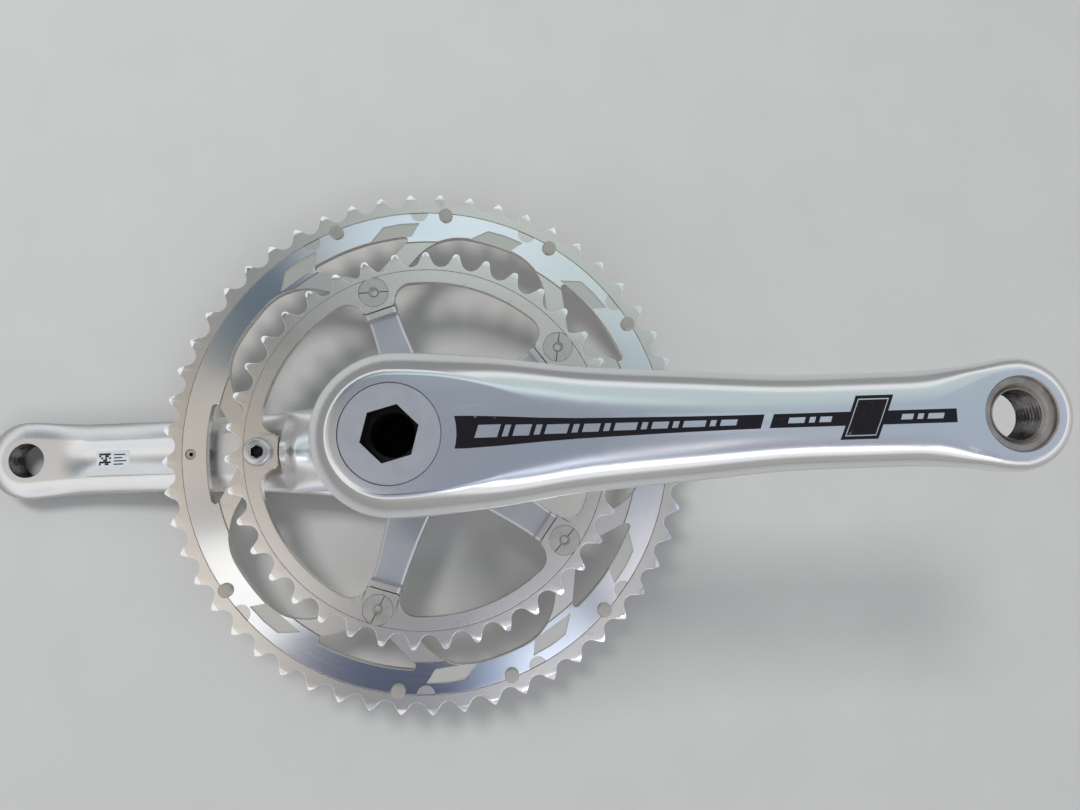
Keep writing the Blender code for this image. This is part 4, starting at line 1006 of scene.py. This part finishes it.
def arm_section(arm, point, out):
    """One closed section of the arm: flat heel, rounded flanks and a crowned top."""
    place = max(point.x, 0)
    base = arm_value(arm, "base", place)
    crest = arm_value(arm, "crest", place)
    crown = arm_value(arm, "crown", place)
    side = [(point - out * inset, height) for inset, height in flank_points(arm, place)]
    rim = side[-1][0]
    section = [(at.x, at.y, height) for at, height in side]
    for share in (0.8, 0.6, 0.4, 0.2, 0, -0.2, -0.4, -0.6, -0.8):
        section.append((rim.x, rim.y * share, crest - crown * share * share))
    section += [(at.x, -at.y, height) for at, height in reversed(side)]
    heel = side[0][0]
    half_steps = 14
    for step in range(1, 2 * half_steps):
        y = heel.y * (step / half_steps - 1)
        section.append((heel.x, y, base + relief_at(arm, heel.x, y)))
    return section


def arm_solid(name, arm, material):
    """Lofts the arm's sections. At both ends a section closes to a line."""
    sections = [arm_section(arm, point, out) for point, out in arm_stations(arm)]
    return loft(name, sections, material, ends="open")


def pedal_cutters(side, arm, hand):
    """The recess round a pedal thread, the chamfer at its other mouth, and the thread's helix of ridges."""
    place = (CRANK_LENGTH, 0, 0)
    recess_z = PEDAL_FACE_Z - 1.0 * MM
    mouth = PEDAL_RECESS_RADIUS + 0.35 * MM
    recess = [
        (0, ABOVE), (mouth, ABOVE), (mouth, PEDAL_FACE_Z), (PEDAL_RECESS_RADIUS, PEDAL_FACE_Z - 0.3 * MM),
        (PEDAL_RECESS_RADIUS, recess_z), (8.4 * MM, recess_z),
        (THREAD_MAJOR_RADIUS - 0.1 * MM, recess_z - 1.3 * MM), (0, recess_z - 1.3 * MM),
    ]
    base = arm_value(arm, "base", CRANK_LENGTH)
    mouth = 7.25 * MM
    chamfer = [
        (0, base + 0.9 * MM), (THREAD_MINOR_RADIUS, base + 0.9 * MM), (mouth, base), (mouth, base - 5 * MM),
        (0, base - 5 * MM),
    ]
    low = 55 * MM
    high = PEDAL_FACE_Z - 2.0 * MM
    around = 64
    rows_per_turn = 6
    rows = round((high - low) / THREAD_PITCH * rows_per_turn)
    middle = (THREAD_MINOR_RADIUS + THREAD_MAJOR_RADIUS) / 2
    reach = (THREAD_MAJOR_RADIUS - THREAD_MINOR_RADIUS) / 2
    sections = []
    for row in range(rows + 1):
        height = low + (high - low) * row / rows
        section = []
        for step in range(around):
            turn = row / rows_per_turn - hand * step / around
            radius = middle + reach * cos(TURN * turn)
            section.append((*polar(radius, TURN * step / around), height))
        sections.append(section)
    # The chamfer and the thread take the darkened cut metal: painted shade inside the pedal hole.
    return [
        turned(side + "_pedal_recess", recess, EYE, place),
        turned(side + "_pedal_chamfer", chamfer, CUT_METAL_SHADE, place),
        loft(side + "_pedal_thread", sections, CUT_METAL_SHADE, place),
    ]


def left_arm():
    arm = arm_solid("left_arm", LEFT_ARM, ARM)
    hub = [
        (0, 62 * MM), (20 * MM, 62 * MM), (20.6 * MM, LEFT_HUB_END_Z + 1 * MM),
        (19.6 * MM, LEFT_HUB_END_Z), (0, LEFT_HUB_END_Z),
    ]
    join(arm, turned("left_hub_boss", hub, ARM, soft=0.6 * MM))
    face = arm_value(LEFT_ARM, "crest", 0)
    bore = 13.7 * MM
    counterbore = [
        (0, ABOVE), (bore + 0.15 * MM, ABOVE), (bore + 0.15 * MM, face), (bore, face - 0.15 * MM),
        (bore, BOLT_SEAT_Z), (11.4 * MM, BOLT_SEAT_Z), (11.4 * MM, 50 * MM), (0, 50 * MM),
    ]
    spindle_bore = [(0, 58.4 * MM), (12.8 * MM, 58.4 * MM), (13.1 * MM, 43 * MM), (0, 43 * MM)]
    tools = [turned("left_counterbore", counterbore, BOLT), turned("left_spindle_bore", spindle_bore, DARK)]
    cut(arm, *tools, *pedal_cutters("left", LEFT_ARM, -1))
    return stands_for(arm, "left_crank_arm", flatness=50)


# Keys along a spider arm and along the drive arm's rib, as (distance out, value), in millimetres
SPIDER_WIDTHS = [(14, 10.6), (26, 8.8), (40, 7.2), (55, 6.4), (67.5, 6.3)]
SPIDER_TOPS = [(14, -46.2), (26, -45.6), (40, -44.2), (56.6, -43.6), (57.15, -39.4), (60, -39.3)]
SPIDER_BOTTOMS = [(14, -56.5), (30, -53.0), (50, -50.6), (60, -49.6)]
SPIDER_STATIONS = [out * MM for out in range(14, 56)] + [(56.25 + 0.15 * step) * MM for step in range(8)]
SPIDER_STATIONS += [58.3 * MM, SHOULDER_RADIUS]
SPIDER_TAB_RADIUS = 6.3 * MM
RIB_TOPS = [(14, -46.4), (30, -45.2), (48, -44.4), (54, -42.9), (57.4, -39.4), (60, -39.3)]
RIB_START = 14.0 * MM
RIB_REACH = 17.0 * MM
RIB_FOOT_Z = -51.8 * MM
RIB_BOTTOM_Z = -56.0 * MM


def spider_section(out):
    """The section of a spider arm at one distance out, its inner edges bevelled."""
    half = along(SPIDER_WIDTHS, out / MM) * MM
    high = along(SPIDER_TOPS, out / MM) * MM
    low = along(SPIDER_BOTTOMS, out / MM) * MM
    chamfer = 1.1 * MM
    small = 0.6 * MM
    outline = [
        (half, low + small), (half, high - chamfer * 0.75), (half - chamfer * 0.25, high - chamfer * 0.38),
        (half - chamfer, high), (0, high + 0.05 * MM),
    ]
    outline += [(-y, z) for y, z in reversed(outline[:-1])]
    outline += [(-(half - small), low), (half - small, low)]
    return [(out, y, z) for y, z in outline]


def rib_section(out):
    """The soft swelling that joins the drive arm's flat side to the hub and ends at the fifth fixing."""
    top = along(RIB_TOPS, out / MM) * MM
    half_steps = 30
    section = [(out, -RIB_REACH, RIB_BOTTOM_Z)]
    for step in range(2 * half_steps + 1):
        share = step / half_steps - 1
        rise = (0.5 + 0.5 * cos(pi * share)) ** 0.8
        section.append((out, share * RIB_REACH, RIB_FOOT_Z + (top - RIB_FOOT_Z) * rise))
    return section + [(out, RIB_REACH, RIB_BOTTOM_Z)]


def spider_tab(index, angle):
    """The thin end of a spider arm, between the two rings."""
    inner = SHOULDER_RADIUS - 3 * MM
    outline = [(inner, -SPIDER_TAB_RADIUS)]
    outline += arc((BOLT_CIRCLE_RADIUS, 0), SPIDER_TAB_RADIUS, -pi / 2, pi / 2, 16)
    outline.append((inner, SPIDER_TAB_RADIUS))
    hole = [(BOLT_CIRCLE_RADIUS + x, y) for x, y in reversed(circle(FIXING_HOLE_RADIUS, 32))]
    return plate(
        f"spider_tab_{index}", [outline, hole], SPIDER_TAB_BACK_Z, SPIDER_TAB_TOP_Z, SPIDER, 0.3 * MM,
        angle=angle,
    )


def right_arm():
    """The drive-side arm with its hub and spider, forged in one piece."""
    arm = arm_solid("right_arm", DRIVE_ARM, DRIVE)
    arm.data.transform(HALF_TURN)
    hub = [
        (0, HUB_FACE_Z), (15.5 * MM, HUB_FACE_Z), (HUB_NECK_RADIUS, HUB_FACE_Z - 0.8 * MM),
        (HUB_NECK_RADIUS, -44.8 * MM), (20.5 * MM, -45.6 * MM), (23.0 * MM, -49.5 * MM),
        (22.6 * MM, -58.0 * MM), (0, -58.0 * MM),
    ]
    pieces = [turned("drive_hub", hub, SPIDER, soft=0.8 * MM)]
    for index, angle in enumerate(FIXING_ANGLES):
        if index == ARM_FIXING:
            stations = [RIB_START + (SHOULDER_RADIUS - RIB_START) * step / 60 for step in range(61)]
            pieces.append(loft("arm_rib", [rib_section(out) for out in stations], DRIVE, angle=angle))
        else:
            sections = [spider_section(out) for out in SPIDER_STATIONS]
            pieces.append(loft(f"spider_arm_{index}", sections, SPIDER, angle=angle))
            pieces.append(spider_tab(index, angle))
    boss = [(0, BIG_BACK_Z - GAP), (7.4 * MM, BIG_BACK_Z - GAP), (7.4 * MM, -60 * MM), (0, -60 * MM)]
    pieces.append(turned("arm_bolt_boss", boss, DRIVE, FIFTH_FIXING, 64, soft=0.5 * MM))
    join(arm, *pieces)
    tools = pedal_cutters("right", DRIVE_ARM, 1)
    for tool in tools:
        tool.matrix_world = HALF_TURN @ Matrix.Translation((CRANK_LENGTH, 0, 0))
    tools.append(cylinder("arm_bolt_thread", 4.0 * MM, -59 * MM, -30 * MM, DARK, FIFTH_FIXING, 48))
    spindle_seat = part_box("spindle")[0].z - GAP
    tools.append(cylinder("spindle_seat", SPINDLE_RADIUS + GAP / 2, spindle_seat, -30 * MM, DARK, sides=96))
    cut(arm, *tools)

    def on_shelf(centre, normal):
        return centre.z > SHOULDER_INNER_Z - 0.3 * MM and normal.z > 0.9

    repaint(arm, SATIN, on_shelf)
    return stands_for(arm, "right_crank_arm", flatness=50)


# ---------------------------------------------------------------- printed bands and label

FILM_SINK = 0.02 * MM
DROP_HEIGHT = 200 * MM


def film(name, loops, ground, material, lift=0.04 * MM):
    """A printed film: a flat outline laid on another piece along Z, a hair proud of it and bedded in it."""
    shape = filled(name, loops)
    bmesh.ops.remove_doubles(shape, verts=shape.verts, dist=MERGE)
    for axis, pitch in (("x", 2 * MM), ("y", 1 * MM)):
        normal = Vector((axis == "x", axis == "y", 0))
        places = [getattr(vert.co, axis) for vert in shape.verts]
        place = min(places) + pitch
        while place < max(places):
            geometry = shape.verts[:] + shape.edges[:] + shape.faces[:]
            bmesh.ops.bisect_plane(shape, geom=geometry, plane_co=normal * place, plane_no=normal)
            place += pitch
    bmesh.ops.triangulate(shape, faces=shape.faces)
    below = BVHTree.FromObject(ground, bpy.context.evaluated_depsgraph_get())
    for vert in shape.verts:
        hit = below.ray_cast(Vector((vert.co.x, vert.co.y, DROP_HEIGHT)), Vector((0, 0, -1)))[0]
        vert.co.z = hit.z + lift
    for face in shape.faces:
        face.normal_update()
        if face.normal.z < 0:
            face.normal_flip()
    sheet = finished(name, shape, material)
    depth = sheet.modifiers.new("depth", "SOLIDIFY")
    depth.thickness = lift + FILM_SINK
    depth.offset = -1
    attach(apply_modifiers(sheet), "crankset")


def bare_blocks(widths, start, top, bottom):
    """Slanted blocks between a band's edges, a plain pattern where the bare metal shows."""
    lean = 0.35
    blocks = []
    left = start
    for width in widths:
        depth = top(left) - bottom(left)
        low = bottom(left) + 0.31 * depth
        high = bottom(left) + 0.71 * depth
        right = left + width * MM
        blocks.append([
            (left + high * lean, high), (right + high * lean, high), (right + low * lean, low),
            (left + low * lean, low),
        ])
        left += (width + 1.2) * MM
    return blocks


def arm_print(ground):
    """Two tapering dark bands along the left arm, with a slanted emblem across the second."""
    def top(x):
        return along([(16, 4.2), (50, 2.6), (100, 2.0), (154, 2.0)], x / MM) * MM

    def bottom(x):
        return along([(16, -4.6), (50, -2.9), (100, -1.8), (154, -1.7)], x / MM) * MM

    start = 17.7 * MM
    first = [(x * MM, bottom(x * MM)) for x in (20, 30, 40, 50, 65, 80, 90, 98.9)]
    first += [(x * MM, top(x * MM)) for x in (100.2, 90, 80, 65, 50, 40, 30, 20)]
    first += arc((0, 0), start, asin(4.15 * MM / start), -asin(4.5 * MM / start), 8)
    blocks = bare_blocks([6.0, 1.6, 4.4, 1.6] * 3 + [6.0, 1.6, 4.4], 23 * MM, top, bottom)
    film("left_arm_print", [first] + blocks, ground, INK)
    emblem_low = -5.5 * MM
    emblem_high = 6.3 * MM

    def slant(x, y):
        return (x + 0.42 * (y - emblem_low), y)

    left = 120.2 * MM
    right = 130.4 * MM
    end = 152.2 * MM
    low = -1.75 * MM
    high = 2.0 * MM
    second = [(101.3 * MM, low), slant(left, low), slant(left, emblem_low), slant(right, emblem_low)]
    second += [slant(right, low), (end, low), (end, high), slant(right, high)]
    second += [slant(right, emblem_high), slant(left, emblem_high), slant(left, high), (102.7 * MM, high)]
    rims = []
    for edge in (0.9 * MM, 0.9 * MM + 0.28 * MM):
        rim = box_loop(left + edge, emblem_low + edge, right - edge, emblem_high - edge)
        rims.append([slant(*corner) for corner in rim])
    outer, inner = rims
    blocks = bare_blocks([4.4, 1.6, 3.2], 106.5 * MM, top, bottom)
    blocks += bare_blocks([3.2, 1.6, 4.4], 137 * MM, top, bottom)
    film("left_arm_print_end", [second, outer[::-1]] + blocks, ground, INK)
    film("left_arm_emblem", [inner], ground, INK)


def arm_label(ground):
    """A small pale label on the drive arm's inner side, with plain squares and bars."""
    left = -141.5 * MM
    low = -4.0 * MM
    film("right_arm_label", [box_loop(left, low, -127.0 * MM, 3.0 * MM)], ground, PAPER)
    marks = []
    cell = 0.8 * MM
    for row in range(6):
        for column in range(6):
            if (row * 5 + column * 3 + row * column) % 4 < 2:
                x = left + (1.2 + 0.85 * column) * MM
                y = low + (1.0 + 0.85 * row) * MM
                marks.append(box_loop(x, y, x + cell, y + cell))
    for row, length in enumerate((4.2, 5.4, 3.6, 5.0)):
        x = left + 7.6 * MM
        y = low + (1.1 + 1.35 * row) * MM
        marks.append(box_loop(x, y, x + length * MM, y + 0.5 * MM))
    film("right_arm_label_marks", marks, ground, INK, 0.08 * MM)


# ---------------------------------------------------------------- spindle, left fixing, bearing and seals

def fixing_bolt():
    """The large bolt that holds the left arm: a flush flange with a deep hexagon, hollow below it."""
    flange = BOLT_SEAT_Z + 1.1 * MM
    rim = 13.6 * MM
    profile = [
        (0, BOLT_FACE_Z), (rim - 0.12 * MM, BOLT_FACE_Z), (rim, BOLT_FACE_Z - 0.12 * MM), (rim, flange),
        (11.0 * MM, flange), (11.0 * MM, 58.7 * MM), (7.7 * MM, 58.1 * MM), (7.7 * MM, 37 * MM),
        (0, 37 * MM),
    ]
    bolt = turned("fixing_bolt", profile, BOLT, steps=128, soft=0.1 * MM)
    socket_end = BOLT_FACE_Z - 7.0 * MM
    # The socket and the hollow below it take the near-black paint: painted shade inside the bolt.
    socket = hexagon("fixing_socket", FIXING_BOLT_KEY, socket_end, ABOVE, angle=FIXING_BOLT_TURN)
    hollow = [(0, socket_end + 1 * MM), (6.2 * MM, socket_end + 1 * MM), (6.2 * MM, 38 * MM), (0, 38 * MM)]
    cut(bolt, socket, turned("fixing_hollow", hollow, PAINTED_SHADE, steps=48))
    stands_for(bolt, "left_fixing_bolt")


def spindle():
    low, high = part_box("spindle")
    neck = 44.0 * MM
    groove_top = BEARING_TOP_Z + 1.6 * MM
    groove_low = BEARING_TOP_Z + 0.2 * MM
    profile = [
        (8.0 * MM, high.z), (SPINDLE_RADIUS - 0.3 * MM, high.z), (SPINDLE_RADIUS - 0.3 * MM, neck),
        (SPINDLE_RADIUS, neck - 1.5 * MM), (SPINDLE_RADIUS, groove_top), (11.8 * MM, groove_top),
        (11.8 * MM, groove_low), (SPINDLE_RADIUS, groove_low), (SPINDLE_RADIUS, low.z), (9.2 * MM, low.z),
        (9.2 * MM, 30 * MM), (8.0 * MM, 32 * MM),
    ]
    shaft = turned("spindle_shaft", profile, GROUND, closed=True, soft=0.15 * MM)
    stands_for(shaft, "spindle")


def bearing():
    """The bearing's rings and shields as fine turned pieces. Its cage and balls keep their CAD shapes."""
    middle = (BEARING_TOP_Z + BEARING_BACK_Z) / 2
    for name, body, edge, wall, track in (
        ("outer_race", "bearing_ring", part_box("bearing_outer_race")[1].x, 16.75 * MM, 17.55 * MM),
        ("inner_race", "crankset", SPINDLE_RADIUS + 0.05 * MM, 14.55 * MM, 13.75 * MM),
    ):
        profile = [
            (edge, BEARING_TOP_Z), (edge, BEARING_BACK_Z), (wall, BEARING_BACK_Z), (wall, middle - 1.7 * MM),
            (track, middle), (wall, middle + 1.7 * MM), (wall, BEARING_TOP_Z),
        ]
        ring = turned(name, profile, GROUND, closed=True, soft=0.3 * MM)
        stands_for(ring, f"bearing_{name}", body)
    for side in ("inner", "outer"):
        low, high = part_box(f"bearing_seal_{side}")
        shield = washer(f"shield_{side}", 14.9 * MM, 16.5 * MM, low.z, high.z, RUBBER)
        stands_for(shield, f"bearing_seal_{side}", "bearing_ring")


def small_rings():
    """Washers, rubber rings and seals, each a fine turned piece."""
    low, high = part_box("left_dust_seal")
    inner = SPINDLE_RADIUS + 0.05 * MM
    lip = inner + 1.8 * MM
    middle = (low.z + high.z) / 2
    profile = [
        (lip, high.z), (high.x, middle + 0.4 * MM), (high.x, middle - 0.4 * MM), (lip, low.z),
        (inner, low.z), (inner, high.z),
    ]
    ring = turned("dust_seal", profile, RUBBER, closed=True, soft=0.2 * MM)
    stands_for(ring, "left_dust_seal")
    section = 1.1 * MM
    centre = (HUB_NECK_RADIUS + section, -43.6 * MM)
    ring = turned("o_ring", arc(centre, section, 0, TURN * 15 / 16, 15), RUBBER, closed=True)
    stands_for(ring, "drive_o_ring")
    for name, node, inner, outer, place in (
        ("bolt_washer", "fixing_bolt_washer", 11.6 * MM, 13.5 * MM, (0, 0, 0)),
        ("fifth_spacer", "arm_bolt_spacer", 4.0 * MM, 6.6 * MM, FIFTH_FIXING),
    ):
        low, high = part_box(node)
        stands_for(washer(name, inner, outer, low.z, high.z, STEEL, place), node)


def wave_washer():
    low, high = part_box("wave_washer")
    thickness = 0.5 * MM
    rise = (high.z - low.z - thickness) / 2
    middle = low.z + rise
    sections = []
    steps = 120
    for step in range(steps):
        angle = TURN * step / steps
        height = middle + rise * cos(3 * angle)
        corners = box_loop(13.0 * MM, height, 17.6 * MM, height + thickness)
        sections.append([(*polar(radius, angle), z) for radius, z in rounded(corners, 0.1 * MM)])
    shape = skinned(sections, "joined")
    bmesh.ops.recalc_face_normals(shape, faces=shape.faces)
    stands_for(finished("spring_washer", shape, STEEL), "wave_washer")


def circlip():
    low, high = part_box("bearing_circlip")
    gap = radians(14)
    outline = arc((0, 0), 14.6 * MM, gap, TURN - gap, 80)
    outline += arc((0, 0), 12.1 * MM, TURN - gap, gap, 80)
    ring = plate("circlip", [rounded(outline, 0.5 * MM)], low.z, high.z, DARK, 0.12 * MM)
    stands_for(ring, "bearing_circlip")


def carried_over_nodes():
    for name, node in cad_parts.items():
        if name.startswith("bearing_ball") or name == "bearing_cage":
            node.data.materials.clear()
            node.data.materials.append(NYLON if name == "bearing_cage" else BALL)


# ---------------------------------------------------------------- floor, light and camera

# Soft panels and gaps of a light tent, as (degrees round the vertical, colour). The inner ones are overhead.
INNER_PANELS = [
    (0, (0.36, 0.42, 0.54)), (8, (0.25, 0.34, 0.50)), (28, (0.56, 0.66, 0.70)), (63, (0.70, 0.82, 0.83)),
    (92, (0.80, 0.94, 0.99)), (117, (0.76, 0.90, 1.0)), (129, (0.54, 0.58, 0.60)),
    (137, (0.09, 0.13, 0.17)), (155, (0.09, 0.13, 0.15)), (162, (0.60, 0.54, 0.47)),
    (177, (0.58, 0.51, 0.42)), (188, (0.36, 0.36, 0.35)), (195, (1.35, 1.33, 1.3)),
    (213, (1.15, 1.17, 1.22)), (219, (0.10, 0.11, 0.17)), (238, (0.01, 0.03, 0.09)),
    (254, (0.02, 0.03, 0.07)), (268, (0.26, 0.34, 0.54)), (280, (1.25, 1.38, 1.65)),
    (296, (1.15, 1.28, 1.5)), (305, (0.42, 0.42, 0.46)), (316, (1.5, 1.45, 1.5)), (335, (1.5, 1.45, 1.45)),
    (350, (0.90, 0.86, 0.85)),
]
OUTER_PANELS = [
    (0, (0.40, 0.46, 0.56)), (45, (0.54, 0.64, 0.66)), (90, (0.56, 0.66, 0.67)), (118, (0.26, 0.31, 0.35)),
    (140, (0.15, 0.19, 0.24)), (162, (0.46, 0.45, 0.43)), (182, (0.68, 0.65, 0.62)),
    (203, (0.98, 0.96, 0.93)), (220, (0.98, 0.96, 0.94)), (236, (0.45, 0.46, 0.50)),
    (270, (0.36, 0.38, 0.46)), (320, (0.36, 0.38, 0.46)),
]
ROOM_PANELS = [
    (0, (0.60, 0.58, 0.56)), (60, (0.33, 0.335, 0.34)), (90, (0.28, 0.285, 0.29)),
    (180, (0.30, 0.30, 0.30)), (240, (0.34, 0.33, 0.32)), (300, (0.42, 0.41, 0.40)),
]
OVERHEAD = (0.27, 0.30, 0.37)
RIM = (0.92, 0.93, 0.95)


def light_tent():
    """The world: colours round the vertical overhead and lower down, and a plain room near the horizon.

    The inner panels reach further down on the +X side, over the left arm's outer end.
    """
    world = bpy.data.worlds.new("light_tent")
    look = NodeTree(world, "Generated")
    x, _, height = look.axes()
    shoulder = look.math("SUBTRACT", height, look.product(look.math("MAXIMUM", x, 0), 0.2))
    centre = look.mix(look.remap(height, 0.970, 0.985, 0, 1), look.azimuth_ramp(INNER_PANELS), OVERHEAD)
    sides = look.mix(look.remap(shoulder, 0.905, 0.925, 0, 1), look.azimuth_ramp(OUTER_PANELS), centre)
    lower = look.mix(look.remap(height, 0.66, 0.74, 0, 1), RIM, sides)
    whole = look.mix(look.remap(height, 0.42, 0.52, 0, 1), look.azimuth_ramp(ROOM_PANELS), lower)
    look.feed(look.tree.nodes["Background"].inputs["Color"], whole)
    bpy.context.scene.world = world


def stage():
    """A plain pale floor under soft light."""
    shape = bmesh.new()
    bmesh.ops.create_grid(shape, x_segments=1, y_segments=1, size=8.0)
    finished("floor", shape, PAINT, (0, 0, FLOOR_Z - 0.2 * MM))
    light_tent()
    lights = [
        # name, place, width, depth, power, colour, whether metal mirrors it
        ("key", (-0.35, 0.7, 1.3), 0.4, 0.4, 15.0, (1.0, 0.99, 0.97), False),
        ("fill", (0.6, -0.6, 1.3), 0.7, 0.7, 3.0, (1.0, 0.99, 0.97), False),
        ("strip", (0.38, -0.76, 1.08), 0.74, 0.28, 1.15, (1.0, 1.0, 1.0), True),
    ]
    for name, place, width, depth, power, colour, mirrored in lights:
        lamp = bpy.data.lights.new(name, "AREA")
        lamp.shape = "RECTANGLE"
        lamp.size = width
        lamp.size_y = depth
        lamp.energy = power
        lamp.color = colour
        obj = bpy.data.objects.new(name, lamp)
        obj.location = place
        obj.rotation_euler = Vector((0, -place[1], -place[2])).to_track_quat("-Z", "Y").to_euler()
        obj.visible_glossy = mirrored
        bpy.context.scene.collection.objects.link(obj)
    bpy.context.scene.view_settings.view_transform = "Standard"


def camera():
    data = bpy.data.cameras.new("camera")
    data.lens = CAMERA_LENS
    data.sensor_width = SENSOR_WIDTH
    data.clip_start = 0.01
    right_up_back = Matrix((
        (0.99785, -0.03292, 0.05658),
        (0.02784, 0.9957, 0.08834),
        (-0.05925, -0.08658, 0.99448),
    ))
    obj = bpy.data.objects.new("camera", data)
    obj.matrix_world = Matrix.Translation(CAMERA_PLACE) @ right_up_back.transposed().to_4x4()
    bpy.context.scene.collection.objects.link(obj)
    bpy.context.scene.camera = obj


arm_print(left_arm())
arm_label(right_arm())
big_ring()
small_ring()
for number, (_, angle) in enumerate(OTHER_FIXINGS, 1):
    chainring_nut(number, angle)
    chainring_bolt(number, angle)
fifth_bolt()
for number, angle in enumerate(PIN_ANGLES, 1):
    shift_pin(number, angle)
drop_pin()
fixing_bolt()
spindle()
bearing()
small_rings()
wave_washer()
circlip()
carried_over_nodes()
stage()
camera()
